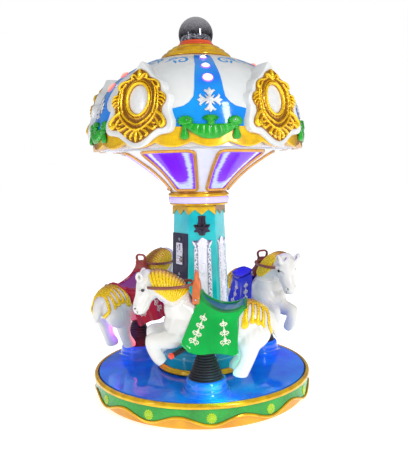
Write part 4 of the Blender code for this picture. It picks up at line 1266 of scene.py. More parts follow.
lamp_rim_mesh = thinned(closed_mesh("rims", lamp_rims), 0.5, 32.0)

# Snowflakes: silvered plastic crosses with leafy arms, pinned under the lamps
flake_middle = 1.753
flake_leaves = [([(0.004, 0.0), (0.034, 0.0), (0.050, 0.0), (0.068, 0.0)], (0.0078, 0.0092, 0.0130, 0.0008)),
                ([(0.030, 0.005), (0.044, 0.013), (0.052, 0.024), (0.048, 0.031)],
                 (0.0062, 0.0074, 0.0060, 0.0010)),
                ([(0.030, -0.005), (0.044, -0.013), (0.052, -0.024), (0.048, -0.031)],
                 (0.0062, 0.0074, 0.0060, 0.0010)),
                ([(0.008, 0.008), (0.016, 0.016), (0.026, 0.026)], (0.0070, 0.0050, 0.0010))]
flake = bmesh.new()
for arm in range(4):
    turn = 0.5 * pi * arm
    for line, widths in flake_leaves:
        stations = []
        for (along, aside_by), wide in zip(smooth_line(line, 4), smooth_line([(w,) for w in widths], 4)):
            x = along * sin(turn) + aside_by * cos(turn)
            z = along * cos(turn) - aside_by * sin(turn)
            seat = dome_point(x / canopy_radius, flake_middle + 0.97 * z, 0.0045)
            stations.append((*seat, max(wide[0], 0.0008), 0.0042))
        swept(flake, stations, dome_facing, 8)
flake_mesh = closed_mesh("flake", flake)
silver = lacquer("silvered_plastic", "#F4F5F6", "#8E929C", 0.2, 0.3)

# Scrolls: azure flourishes brushed on by hand beside each panel's top
flourishes = [[(33.0, 1.992), (28.0, 2.013), (22.0, 2.024), (16.5, 2.020), (14.2, 2.004), (16.0, 1.990),
               (19.5, 1.990), (20.8, 2.001), (18.8, 2.008)],
              [(30.0, 2.001), (31.5, 2.016), (28.5, 2.026), (25.5, 2.022), (27.0, 2.014)],
              [(26.5, 2.003), (24.0, 1.994), (22.0, 1.980)]]
flourish = bmesh.new()
for side in (1.0, -1.0):
    for line in flourishes:
        tapered(flourish, line, lambda spot: dome_point(side * radians(spot[0]), spot[1], 0.0004),
                0.0022, 0.0056, 0.0008, dome_facing, 8)
flourish_mesh = closed_mesh("flourish", flourish)
azure_enamel = enamel("brushed_azure_enamel", "#1C90DC", 0.3)
for bay in range(bays):
    turn = Matrix.Rotation(bay * 2.0 * pi / bays, 4, "Z")
    piece("green_swag_%d" % (bay + 1), swag_mesh, swag_green, place=turn)
    piece("swag_screws_%d" % (bay + 1), swag_screw_mesh, chrome, place=turn)
    piece("roof_lamps_%d" % (bay + 1), lamp_dome_mesh, lamp_glow[min(bay, 1)], place=turn)
    piece("roof_lamp_rims_%d" % (bay + 1), lamp_rim_mesh, rim_glow[min(bay, 1)], place=turn)
    piece("silver_snowflake_%d" % (bay + 1), flake_mesh, silver, place=turn)
    piece("azure_flourish_%d" % (bay + 1), flourish_mesh, azure_enamel, place=turn)


# Shields: five gabled dormers in white gelcoat that lean in over the band, with eased
# edges and a plain border round what they carry.
shield_reach = 0.6575
shield_tilt = radians(8.9)
shield_depth = 0.24
shield_low = 1.514
shield_edge = ((0.000, 1.984), (0.044, 1.928), (0.082, 1.894), (0.128, 1.866), (0.150, 1.836), (0.156, 1.808),
               (0.188, 1.790), (0.194, 1.755), (0.185, 1.728), (0.196, 1.690), (0.214, 1.650), (0.213, 1.612),
               (0.192, 1.588), (0.130, 1.579), (0.098, 1.560), (0.058, 1.529), (0.030, 1.517),
               (0.000, shield_low))


def shield_frame(bay, reach=shield_reach):
    """Moves a piece made facing -Y at y = 0 to its side of the canopy, leaning in."""
    return (Matrix.Rotation(pi / bays + bay * 2.0 * pi / bays, 4, "Z")
            @ Matrix.Translation((0.0, -reach, shield_low)) @ Matrix.Rotation(-shield_tilt, 4, "X")
            @ Matrix.Translation((0.0, 0.0, -shield_low)))


shield_shoulder = 1.800
shield_fall = 0.110
shield_levels = [(0.0, 0.007), (0.001, 0.003), (0.004, 0.0008), (0.008, 0.0)]
shield_levels += [(shield_depth * step / 6.0, 0.0) for step in range(1, 7)]


def shield_point(x, z, out):
    """A point of a dormer: its ridge is level at the front and falls into the dome behind."""
    high = max(z - shield_shoulder, 0.0) / (shield_edge[0][1] - shield_shoulder)
    return Vector((x, out,
                   z + out * math.tan(shield_tilt) - shield_fall * high * (out / shield_depth) ** 2.6))


shield = chamfered(rounded(mirrored(shield_edge)[::-1], 0.014), shield_levels, shield_point)
shield_mesh = closed_mesh("shield", shield, 40.0)
for bay in range(bays):
    piece("shield_dormer_%d" % (bay + 1), shield_mesh, white_gelcoat,
          place=shield_frame(bay))


# Cartouches: cast plastic frames in the rococo manner, in gold lacquer painted deep in the low parts as
# painted shade and bright on what stands up as painted highlight. Each holds a small domed mirror.
frame_edge = ((0.000, 1.937), (0.022, 1.928), (0.046, 1.914), (0.064, 1.888), (0.110, 1.872), (0.130, 1.850),
              (0.136, 1.808), (0.164, 1.794), (0.174, 1.766), (0.167, 1.744), (0.150, 1.728), (0.148, 1.698),
              (0.162, 1.680), (0.182, 1.652), (0.184, 1.626), (0.162, 1.611), (0.126, 1.613), (0.096, 1.593),
              (0.056, 1.563), (0.022, 1.544), (0.000, 1.539))
mirror_middle = 1.772
mirror_wide = 0.061
mirror_high = 0.077
frame_base = 0.006
half_turn = [pi * step / 10.0 for step in range(11)]
cartouche_strokes = [([(0.070 * sin(turn), mirror_middle + 0.087 * cos(turn)) for turn in half_turn],
                      (0.0085,) * 3, 0.014),
                     ([(0.085 * sin(turn), mirror_middle + 0.102 * cos(turn)) for turn in half_turn],
                      (0.0035,) * 3, 0.006),
                     ([(0.0, 1.934), (0.0, 1.908), (0.0, 1.880)], (0.004, 0.012, 0.008), 0.017),
                     ([(0.008, 1.882), (0.022, 1.897), (0.038, 1.905), (0.048, 1.896), (0.045, 1.884),
                       (0.035, 1.885)], (0.006, 0.006, 0.005), 0.014),
                     ([(0.050, 1.878), (0.076, 1.872), (0.104, 1.866), (0.121, 1.853), (0.126, 1.836),
                       (0.117, 1.827), (0.108, 1.835)], (0.005, 0.008, 0.005), 0.015),
                     ([(0.084, 1.858), (0.102, 1.832), (0.108, 1.800), (0.109, 1.765), (0.105, 1.730),
                       (0.096, 1.704)], (0.005,) * 3, 0.011),
                     ([(0.118, 1.820), (0.125, 1.786), (0.126, 1.750), (0.122, 1.715), (0.112, 1.688)],
                      (0.005,) * 3, 0.010),
                     ([(0.132, 1.800), (0.150, 1.796), (0.166, 1.784)], (0.004, 0.007, 0.004), 0.014),
                     ([(0.134, 1.784), (0.154, 1.778), (0.171, 1.765)], (0.004, 0.007, 0.004), 0.015),
                     ([(0.134, 1.766), (0.152, 1.760), (0.164, 1.747)], (0.004, 0.006, 0.004), 0.014),
                     ([(0.132, 1.750), (0.144, 1.742), (0.151, 1.732)], (0.004, 0.005, 0.004), 0.013),
                     ([(0.100, 1.700), (0.078, 1.676), (0.048, 1.655), (0.020, 1.642), (0.0, 1.637)],
                      (0.006,) * 3, 0.013),
                     ([(0.112, 1.686), (0.090, 1.656), (0.062, 1.632), (0.030, 1.615), (0.0, 1.608)],
                      (0.006,) * 3, 0.012),
                     ([(0.118, 1.704), (0.140, 1.688), (0.158, 1.672), (0.172, 1.650), (0.170, 1.630),
                       (0.156, 1.622), (0.145, 1.632), (0.150, 1.645)], (0.007, 0.010, 0.006), 0.019),
                     ([(0.155, 1.6335), (0.1552, 1.6337)], (0.008,) * 3, 0.020),
                     ([(0.112, 1.672), (0.128, 1.655), (0.134, 1.636), (0.126, 1.622)], (0.004, 0.006, 0.004),
                      0.013),
                     ([(0.0, 1.602), (0.0, 1.573), (0.0, 1.546)], (0.006, 0.011, 0.004), 0.015),
                     ([(0.012, 1.602), (0.028, 1.586), (0.036, 1.568), (0.026, 1.557)], (0.005, 0.008, 0.004),
                      0.014),
                     ([(0.034, 1.612), (0.058, 1.600), (0.072, 1.584), (0.060, 1.575)], (0.005, 0.008, 0.004),
                      0.014),
                     ([(0.064, 1.627), (0.090, 1.616), (0.110, 1.610), (0.118, 1.620), (0.106, 1.627)],
                      (0.005, 0.007, 0.004), 0.014),
                     ([(0.092, 1.648), (0.110, 1.640), (0.120, 1.646)], (0.004, 0.005, 0.003), 0.011)]
for x, z in ((0.117, 1.800), (0.118, 1.770), (0.117, 1.740), (0.112, 1.712), (0.092, 1.846), (0.068, 1.869)):
    cartouche_strokes.append(([(x, z), (x + 0.0002, z)], (0.0045,) * 3, 0.010))
cartouche_columns = 240
cartouche_rows = 34
edge_line = rounded(mirrored(frame_edge), 0.012, 3)
cartouche_strokes.append(([(abs(x), z) for x, z in edge_line if x >= 0.0], (0.0035,) * 3, 0.006))


def reach_of(outline, turn):
    """How far an outline lies from the mirror's middle in a direction."""
    ray = Vector((sin(turn), cos(turn)))
    farthest = 0.0
    for (x0, z0), (x1, z1) in zip(outline, outline[1:] + outline[:1]):
        start, span = Vector((x0, z0 - mirror_middle)), Vector((x1 - x0, z1 - z0))
        across = ray.cross(span)
        if abs(across) < 1e-12:
            continue
        share = start.cross(ray) / across
        if -1e-9 <= share <= 1.0 + 1e-9:
            farthest = max(farthest, start.cross(span) / across)
    return farthest


turns = [2.0 * pi * column / cartouche_columns for column in range(cartouche_columns)]
outer_reach = [reach_of(edge_line, turn) for turn in turns]
inner_reach = [1.0 / math.hypot(sin(turn) / mirror_wide, cos(turn) / mirror_high) for turn in turns]
spread = np.array([[(near + (far - near) * row / cartouche_rows) * np.array((sin(turn), cos(turn)))
                    + (0.0, mirror_middle) for turn, near, far in zip(turns, inner_reach, outer_reach)]
                   for row in range(cartouche_rows + 1)])
rises = carving(np.abs(spread.reshape(-1, 2)), cartouche_strokes).reshape(cartouche_rows + 1,
                                                                          cartouche_columns)
cartouche_rings = [[(x, 0.0, z) for x, z in spread[0]]]
for row in range(cartouche_rows + 1):
    level = frame_base * (0.4 if row in (0, cartouche_rows) else 1.0)
    cartouche_rings.append([(x, -level - rise, z) for (x, z), rise in zip(spread[row], rises[row])])
cartouche_rings.append([(x, 0.0, z) for x, z in spread[-1]])
cartouche = skinned(cartouche_rings + [cartouche_rings[0]], capped=False)
bmesh.ops.remove_doubles(cartouche, verts=cartouche.verts, dist=1e-6)
cartouche_mesh = closed_mesh("cartouche", cartouche, 60.0)
# The frame's height above its base sets its painted shade and highlight.
relief_lighting = cartouche_mesh.attributes.new("relief_lighting", "FLOAT", "POINT")
relief_lighting.data.foreach_set("value", [min(max((-vertex.co.y - frame_base) / 0.010, 0.0), 1.0)
                                  for vertex in cartouche_mesh.vertices])


relief_shaded_gold = relief_shaded_lacquer("gold_lacquer_painted_relief_shade", "#9A6408", "#CC9008", "#FFD20A")
mirror_silver = smeared("silvered_mirror", "#F4F5F4", 0.3, 40.0, 4.0, 0.28, 0.42)
mirror_rings = [(1.0, 0.0)] + [(1.0 - 0.06 * step ** 1.5, 0.003 + 0.0012 * step) for step in range(5)]
mirror_shape = skinned([[(share * mirror_wide * 0.985 * sin(turn), -out, mirror_middle
                          + share * mirror_high * 0.985 * cos(turn)) for turn in turns[::4]]
                        for share, out in mirror_rings + [(0.25, 0.0088)]])
oval_mesh = closed_mesh("oval", mirror_shape)
for bay in range(bays):
    seat = shield_frame(bay, shield_reach + touch)
    piece("carved_cartouche_%d" % (bay + 1), cartouche_mesh, relief_shaded_gold,
          replaces=["cartouche_%d" % (bay + 1)], place=seat)
    piece("oval_mirror_%d" % (bay + 1), oval_mesh, mirror_silver, place=seat)


# Cap and ball: a stepped gold cap over the dome's crown, an orange collar and a plastic
# ball with a vacuum-metallised mirror finish.
cap_radius = 0.199
cap_low = 2.064 + touch
cap_height = 0.079
cap_outline = [(0.0, cap_low), (cap_radius + 0.016, cap_low), (cap_radius + 0.018, cap_low + 0.008),
               (cap_radius + 0.010, cap_low + 0.020), (cap_radius, cap_low + 0.030), (0.184, cap_low + 0.032),
               (0.180, cap_low + 0.036), (0.176, cap_low + 0.050), (0.164, cap_low + 0.055),
               (0.152, cap_low + 0.060), (0.146, cap_low + 0.070), (0.130, cap_low + 0.076),
               (0.100, cap_low + cap_height), (0.0, cap_low + cap_height)]
piece("stepped_cap", turned(rounded(cap_outline, 0.004, closed=False), 120), gold,
      replaces=["roof_cap"])
ball_radius = 0.105
ball_centre = 2.218
collar_low = cap_low + cap_height + touch
orange_gelcoat = gelcoat("moulded_orange_plastic", "#E85A28", "#C83A18", 0.2)
collar_outline = [(0.0, collar_low), (0.113, collar_low), (0.115, collar_low + 0.004),
                  (0.110, collar_low + 0.010), (0.101, collar_low + 0.015), (0.098, 2.172), (0.092, 2.170),
                  (0.080, 2.152), (0.0, 2.152)]
piece("orange_collar", turned(rounded(collar_outline, 0.003, closed=False), 120), orange_gelcoat,
      replaces=["ball_collar"])

# The ball's chrome carries a painted reflection: dark patches and a darker lower half, paler to the top, as a
# dark hall and its lamps would show in it.
ball_mirror = smeared("metallised_plastic_ball", "#F4F4F8", 1.0, 30.0, 5.0, 0.03, 0.12)
ball_tree = ball_mirror.node_tree
ball_height = add(ball_tree, "SeparateXYZ", {0: add(ball_tree, "TexCoord").outputs["Object"]})
ball_reflection_patches = add(ball_tree, "TexNoise", {"Scale": 1000.0 / 45.0, "Detail": 4.0}).outputs[0]
ball_level = ranged(ball_tree, ball_height.outputs["Z"], 2.20, 2.325, -0.40, 0.70)
ball_painted_reflection = add(ball_tree, "Math", {0: ball_level, 1: ball_reflection_patches}, operation="ADD").outputs[0]
fill(ball_tree.nodes["Principled BSDF"],
     {"Base Color": blended(ball_tree, ball_painted_reflection, srgb("#2C2C38"), srgb("#F4F4F8"))})
ball_foot = 2.1525
ball_steps = 24
ball_outline = [(0.0, ball_foot), (0.078, ball_foot)]
for step in range(1, ball_steps + 1):
    turn = radians(-40.0 + 130.0 * step / ball_steps)
    ball_outline.append((ball_radius * cos(turn) if step < ball_steps else 0.0,
                         ball_centre + ball_radius * sin(turn)))
piece("mirror_ball_shell", turned(ball_outline, small_steps), ball_mirror,
      replaces=["mirror_ball"])


# Horses: three hollow glass-fibre castings from one mould, white gelcoat all over, with
# black paint in the ears, the nostrils and the mouth. Each stands on its bellows.
horse_heading = radians(-7.5)
horse_rise = (0.0, 0.018, 0.0)


def horse_place(index, rise=True):
    """Moves what is made in the horse's own frame (x forward, y to its left) to its stand."""
    stand = turntable_rest + index * 2.0 * pi / horses
    return (Matrix.Translation((horse_circle * sin(stand), -horse_circle * cos(stand),
                                horse_rise[index] if rise else 0.0))
            @ Matrix.Rotation(stand + pi + horse_heading, 4, "Z"))


def evaluated(build, *modifiers):
    """The mesh of a bmesh after some modifiers, each a kind and its settings."""
    blank = bpy.data.objects.new("form", closed_mesh("form", build))
    bpy.context.collection.objects.link(blank)
    for kind, settings in modifiers:
        modifier = blank.modifiers.new(kind, kind)
        for name, value in settings.items():
            setattr(modifier, name, value)
    result = bpy.data.meshes.new_from_object(blank.evaluated_get(bpy.context.evaluated_depsgraph_get()))
    bpy.data.objects.remove(blank)
    result.shade_smooth()
    return result


def points_of(mesh, what="co"):
    """The places, or normals, of a mesh's points as an array."""
    values = np.empty(3 * len(mesh.vertices), dtype=np.float32)
    mesh.vertices.foreach_get(what, values)
    return values.reshape(-1, 3).astype(float)


def limb(build, stations, steps=28):
    """A limb with oval sections, from stations (x, y, z, half depth, half width along y)."""
    swept(build, smooth_line(stations, 6), (0.0, 1.0, 0.0), steps, ends=False)


horse = bmesh.new()
limb(horse, [(-0.368, 0.0, 0.522, 0.026, 0.030), (-0.345, 0.0, 0.528, 0.062, 0.070),
             (-0.298, 0.0, 0.548, 0.094, 0.102), (-0.233, 0.0, 0.558, 0.113, 0.116),
             (-0.180, 0.0, 0.522, 0.098, 0.114), (-0.119, 0.0, 0.503, 0.095, 0.114),
             (0.000, 0.0, 0.503, 0.095, 0.114), (0.090, 0.0, 0.537, 0.118, 0.114),
             (0.161, 0.0, 0.540, 0.107, 0.105), (0.205, 0.0, 0.540, 0.076, 0.080),
             (0.232, 0.0, 0.540, 0.024, 0.028)])
neck_stations = [(0.085, 0.0, 0.572, 0.112, 0.106), (0.136, 0.0, 0.631, 0.097, 0.102),
                 (0.153, 0.0, 0.688, 0.074, 0.094), (0.181, 0.0, 0.721, 0.077, 0.089),
                 (0.223, 0.0, 0.749, 0.077, 0.083), (0.267, 0.0, 0.768, 0.074, 0.074),
                 (0.314, 0.0, 0.782, 0.056, 0.058)]
limb(horse, neck_stations)
limb(horse, [(0.300, 0.0, 0.838, 0.022, 0.034), (0.311, 0.0, 0.818, 0.043, 0.052),
             (0.321, 0.0, 0.784, 0.055, 0.058), (0.3265, 0.0, 0.738, 0.0595, 0.059),
             (0.3405, 0.0, 0.692, 0.0505, 0.049), (0.357, 0.0, 0.648, 0.047, 0.040),
             (0.3625, 0.0, 0.620, 0.0445, 0.039), (0.360, 0.0, 0.595, 0.028, 0.029)])
limb(horse, [(0.262, 0.0, 0.735, 0.030, 0.040), (0.290, 0.0, 0.715, 0.036, 0.050),
             (0.316, 0.0, 0.690, 0.030, 0.040)])
for side, forward, lift in ((1.0, 0.0, 0.0), (-1.0, 0.018, 0.016)):
    limb(horse, [(0.111 + forward, side * 0.052, 0.516, 0.064, 0.044),
                 (0.181 + forward, side * 0.068, 0.471 + lift, 0.056, 0.042),
                 (0.247 + forward, side * 0.071, 0.464 + lift, 0.045, 0.037),
                 (0.290 + forward, side * 0.071, 0.466 + lift, 0.038, 0.035),
                 (0.311 + forward, side * 0.071, 0.462 + lift, 0.024, 0.025)])
    limb(horse, [(0.297 + forward, side * 0.071, 0.492 + lift, 0.026, 0.027),
                 (0.291 + forward, side * 0.071, 0.444 + lift, 0.037, 0.034),
                 (0.274 + forward, side * 0.071, 0.396 + lift, 0.037, 0.033),
                 (0.251 + forward, side * 0.071, 0.360 + lift, 0.036, 0.035),
                 (0.231 + forward, side * 0.071, 0.336 + lift, 0.028, 0.029)])
for side, forward in ((1.0, 0.0), (-1.0, 0.024)):
    limb(horse, [(-0.280, side * 0.042, 0.565, 0.078, 0.056), (-0.275, side * 0.058, 0.505, 0.088, 0.058),
                 (-0.249 + forward, side * 0.064, 0.442, 0.066, 0.050),
                 (-0.240 + forward, side * 0.064, 0.380, 0.045, 0.037),
                 (-0.221 + forward, side * 0.064, 0.325, 0.039, 0.034),
                 (-0.195 + forward, side * 0.064, 0.280, 0.044, 0.038),
                 (-0.191 + forward, side * 0.064, 0.262, 0.039, 0.035)])
limb(horse, [(-0.330, 0.0, 0.600, 0.024, 0.030), (-0.362, 0.0, 0.578, 0.030, 0.036),
             (-0.380, 0.0, 0.536, 0.029, 0.035), (-0.393, 0.0, 0.492, 0.020, 0.024),
             (-0.402, 0.0, 0.458, 0.008, 0.010)], 16)
for side in (1.0, -1.0):
    limb(horse, [(0.334, side * 0.038, 0.786, 0.020, 0.020), (0.344, side * 0.056, 0.796, 0.024, 0.018),
                 (0.350, side * 0.067, 0.813, 0.024, 0.016), (0.353, side * 0.073, 0.830, 0.019, 0.013),
                 (0.355, side * 0.076, 0.845, 0.009, 0.007)], 16)
boss = turned([(0.0, 0.401), (0.040, 0.401), (0.050, 0.409), (0.050, 0.460), (0.0, 0.460)], 48)
horse.from_mesh(closed_mesh("belly_boss", boss))
horse_voxel = 0.0045
horse_mesh = evaluated(horse, ("REMESH", {"mode": "VOXEL", "voxel_size": horse_voxel}),
                       ("SMOOTH", {"factor": 0.5, "iterations": 14}))

# What the mould adds to the plain form: ridges and grooves, drawn from the side (x, z)
places = points_of(horse_mesh)
share = np.clip((0.018 - places[:, 0]) / 0.244, 0.0, 1.0)
seat_top = 0.726 - 0.048 * share - 0.082 * np.sin(pi * np.clip(share * 1.08, 0.0, 1.0)) ** 0.7
under_seat = (places[:, 0] < 0.03) & (places[:, 0] > -0.232) & (places[:, 2] > seat_top - 0.026)
places[:, 2] = np.where(under_seat, seat_top - 0.026, places[:, 2])
horse_mesh.vertices.foreach_set("co", places.astype(np.float32).ravel())
horse_mesh.update()
ridges = [([(0.316, 0.758), (0.311, 0.718), (0.320, 0.682), (0.337, 0.652), (0.348, 0.632)],
           (0.006, 0.007, 0.004), 0.0045),
          ([(0.314, 0.806), (0.335, 0.797), (0.356, 0.792), (0.374, 0.790)], (0.005, 0.005, 0.004), 0.0030),
          ([(0.330, 0.732), (0.340, 0.744), (0.354, 0.743), (0.366, 0.730)], (0.003, 0.005, 0.003), 0.0060),
          ([(0.376, 0.640), (0.384, 0.645), (0.393, 0.640), (0.396, 0.630)], (0.003, 0.005, 0.004), 0.0045),
          ([(0.070, 0.748), (0.090, 0.706), (0.128, 0.672), (0.178, 0.650), (0.226, 0.660), (0.250, 0.690)],
           (0.004, 0.007, 0.005), 0.0045),
          ([(0.299, 0.762), (0.309, 0.768), (0.317, 0.760), (0.313, 0.749), (0.302, 0.750)], (0.004,) * 3,
           0.0050),
          ([(0.313, 0.757), (0.3135, 0.757)], (0.0140,) * 3, 0.0120),
          ([(0.340, 0.800), (0.334, 0.816), (0.342, 0.834)], (0.004, 0.005, 0.003), 0.0040),
          ([(0.362, 0.800), (0.368, 0.816), (0.362, 0.834)], (0.004, 0.005, 0.003), 0.0040)]
grooves = [([(0.379, 0.620), (0.375, 0.611), (0.366, 0.606), (0.352, 0.613)], (0.004, 0.004, 0.003), 0.0060),
           ([(0.387, 0.632), (0.3885, 0.630)], (0.0065,) * 3, 0.0070),
           ([(0.350, 0.727), (0.352, 0.727)], (0.016,) * 3, 0.0065),
           ([(0.334, 0.732), (0.338, 0.700), (0.350, 0.672), (0.362, 0.652)], (0.006, 0.008, 0.004), 0.0030),
           ([(0.284, 0.706), (0.300, 0.690), (0.318, 0.662), (0.334, 0.636), (0.344, 0.618)],
            (0.004, 0.006, 0.003), 0.0040),
           ([(0.060, 0.742), (0.086, 0.722), (0.120, 0.700), (0.148, 0.684)], (0.004, 0.007, 0.003), 0.0050),
           ([(0.086, 0.699), (0.108, 0.680), (0.134, 0.662)], (0.004, 0.007, 0.003), 0.0050),
           ([(0.100, 0.690), (0.140, 0.664), (0.180, 0.642), (0.226, 0.650)], (0.003, 0.005, 0.003), 0.0025),
           ([(0.148, 0.520), (0.170, 0.510), (0.200, 0.512), (0.226, 0.522)], (0.004, 0.010, 0.004), 0.0040),
           ([(0.100, 0.430), (0.150, 0.425), (0.196, 0.410), (0.214, 0.390)], (0.004, 0.006, 0.004), 0.0030),
           ([(0.228, 0.500), (0.216, 0.520), (0.200, 0.530)], (0.005, 0.008, 0.004), 0.0035),
           ([(0.236, 0.392), (0.252, 0.378), (0.266, 0.372)], (0.003, 0.005, 0.003), 0.0020),
           ([(0.351, 0.804), (0.352, 0.816), (0.353, 0.828)], (0.008, 0.011, 0.006), 0.0120),
           ([(-0.228, 0.536), (-0.232, 0.500), (-0.236, 0.466)], (0.003, 0.007, 0.003), 0.0022),
           ([(-0.262, 0.540), (-0.264, 0.505), (-0.262, 0.470)], (0.003, 0.007, 0.003), 0.0022),
           ([(-0.296, 0.536), (-0.292, 0.505), (-0.286, 0.476)], (0.003, 0.007, 0.003), 0.0022),
           ([(-0.196, 0.400), (-0.206, 0.360), (-0.200, 0.320)], (0.003, 0.007, 0.003), 0.0022),
           ([(-0.374, 0.560), (-0.384, 0.525), (-0.392, 0.490)], (0.003, 0.005, 0.002), 0.0025)]
painted = [([(0.351, 0.808), (0.352, 0.816), (0.352, 0.824)], (0.005, 0.007, 0.004), 0.45),
           ([(0.3872, 0.6318), (0.3885, 0.630)], (0.0050,) * 3, 1.0),
           ([(0.3790, 0.6180), (0.3755, 0.6110), (0.3760, 0.6040)], (0.0014, 0.0022, 0.0014), 1.0),
           ([(0.3380, 0.7340), (0.3500, 0.7390), (0.3620, 0.7320)], (0.0010, 0.0018, 0.0010), 0.8)]


places, normals = points_of(horse_mesh), points_of(horse_mesh, "normal")
flank = np.clip((np.abs(normals[:, 1]) - 0.10) / 0.25, 0.0, 1.0)
moves = (carving(places[:, [0, 2]], ridges) - carving(places[:, [0, 2]], grooves)) * flank
horse_mesh.vertices.foreach_set("co", (places + normals * moves[:, None]).astype(np.float32).ravel())
horse_form = bmesh.new()
horse_form.from_mesh(horse_mesh)
horse_mesh = evaluated(horse_form, ("SMOOTH", {"factor": 0.5, "iterations": 2}))
places, normals = points_of(horse_mesh), points_of(horse_mesh, "normal")
outside = np.clip((np.abs(normals[:, 1]) - 0.2) / 0.3, 0.0, 1.0) * (np.abs(places[:, 1]) > 0.012)
measure(horse_mesh, "dark", np.clip(carving(places[:, [0, 2]], painted) * 1.6, 0.0, 1.0) * outside)
horse_gelcoat = gelcoat("moulded_ivory_gelcoat", "#ECEBE4", "#DEDDD6", 0.13, 70.0)


def painted_over(material, attribute, colour, roughness=None):
    """Adds paint of another colour, and maybe polish, where a mesh's attribute says."""
    tree = material.node_tree
    shader = tree.nodes["Principled BSDF"]
    share = add(tree, "Attribute", attribute_name=attribute).outputs["Fac"]
    under = {name: shader.inputs[name].links[0].from_socket for name in ("Base Color", "Roughness")}
    fill(shader, {"Base Color": blended(tree, share, under["Base Color"], srgb(colour))})
    if roughness is not None:
        fill(shader,
             {"Roughness": add(tree, "Mix", {0: share, 2: under["Roughness"], 3: roughness}).outputs[0]})


painted_over(horse_gelcoat, "dark", "#1C1A1C")
body_form = bmesh.new()
body_form.from_mesh(horse_mesh)
body_surface = BVHTree.FromBMesh(body_form)
body_form.free()

# Eyes: black glass-like acrylic beads set in the sockets
eye_black, eye_shader = new_material("black_acrylic_bead")
depths = add(eye_black.node_tree, "LayerWeight", {"Blend": 0.3}).outputs["Facing"]
fill(eye_shader, {"Base Color": srgb("#0A0A0C"), "Coat Weight": 1.0,
                  "Roughness": ranged(eye_black.node_tree, depths, 0.0, 1.0, 0.03, 0.08)})
eyes = bmesh.new()
for side in (1.0, -1.0):
    seat, outward, _, _ = body_surface.find_nearest((0.352, side * 0.09, 0.727))
    turn = Vector((0.0, 0.0, 1.0)).rotation_difference(outward).to_matrix().to_4x4()
    bmesh.ops.create_uvsphere(eyes, u_segments=24, v_segments=16, radius=1.0,
                              matrix=Matrix.Translation(seat) @ turn
                              @ Matrix.Diagonal((0.0105, 0.0090, 0.0065, 1.0)))
eye_mesh = closed_mesh("eyes", eyes)


# Manes: a crest moulded with the neck and sprayed gold, its locks combed in a fan
mane_thick = 0.012
mane_locks = 33
mane_focus = (0.190, 0.590)
mane_edge = [(0.330, 0.900), (0.000, 0.950), (0.038, 0.756), (0.080, 0.734), (0.106, 0.718), (0.138, 0.694),
             (0.168, 0.682), (0.196, 0.692), (0.232, 0.718), (0.268, 0.738), (0.284, 0.768), (0.295, 0.806),
             (0.310, 0.850)]
mane = bmesh.new()
swept(mane, [(x, y, z, deep + mane_thick, wide + mane_thick)
             for x, y, z, deep, wide in smooth_line(neck_stations, 5)], (0.0, 1.0, 0.0), 48, ends=False)
mane_cut = bmesh.new()
front = [mane_cut.verts.new((x, -0.15, z)) for x, z in rounded(mane_edge, 0.012)]
back = [mane_cut.verts.new((vertex.co.x, 0.15, vertex.co.z)) for vertex in front]
mane_cut.faces.new(front)
mane_cut.faces.new(back[::-1])
for index in range(len(front)):
    after = (index + 1) % len(front)
    mane_cut.faces.new([front[index], back[index], back[after], front[after]])
fan = bpy.data.objects.new("fan", closed_mesh("fan", mane_cut))
bpy.context.collection.objects.link(fan)
mane_mesh = evaluated(mane, ("REMESH", {"mode": "VOXEL", "voxel_size": 0.004}),
                      ("SMOOTH", {"factor": 0.5, "iterations": 4}),
                      ("BOOLEAN", {"operation": "INTERSECT", "solver": "EXACT", "object": fan}))
bpy.data.objects.remove(fan)
mane_form = bmesh.new()
mane_form.from_mesh(mane_mesh)
mane_mesh = evaluated(mane_form, ("REMESH", {"mode": "VOXEL", "voxel_size": 0.0025}),
                      ("SMOOTH", {"factor": 0.5, "iterations": 3}))
places, normals = points_of(mane_mesh), points_of(mane_mesh, "normal")
x, z = places[:, 0] - mane_focus[0], places[:, 2] - mane_focus[1]
turn = np.arctan2(x, z) / radians(150.0) * mane_locks
distance = np.hypot(x, z)
lock = np.abs(np.sin(pi * turn)) ** 0.6
crimp = np.sin(2.0 * pi * distance / 0.009 + pi * np.floor(turn))
places += normals * (0.0040 * lock + 0.0006 * crimp * lock - 0.0030)[:, None]
mane_mesh.vertices.foreach_set("co", places.astype(np.float32).ravel())
# Painted shade and highlight: the gold runs deep in the grooves between the locks and along the crest, and
# bright on the raised locks.
measure(mane_mesh, "relief_lighting",
        (0.10 + 0.90 * lock + 0.10 * crimp) * np.clip((np.abs(places[:, 1]) - 0.012) / 0.050, 0.0, 1.0))
mane_gold = relief_shaded_lacquer("mane_gold_painted_relief_shade", "#A06A1E", "#D8A000", "#FFDA00", 0.2)

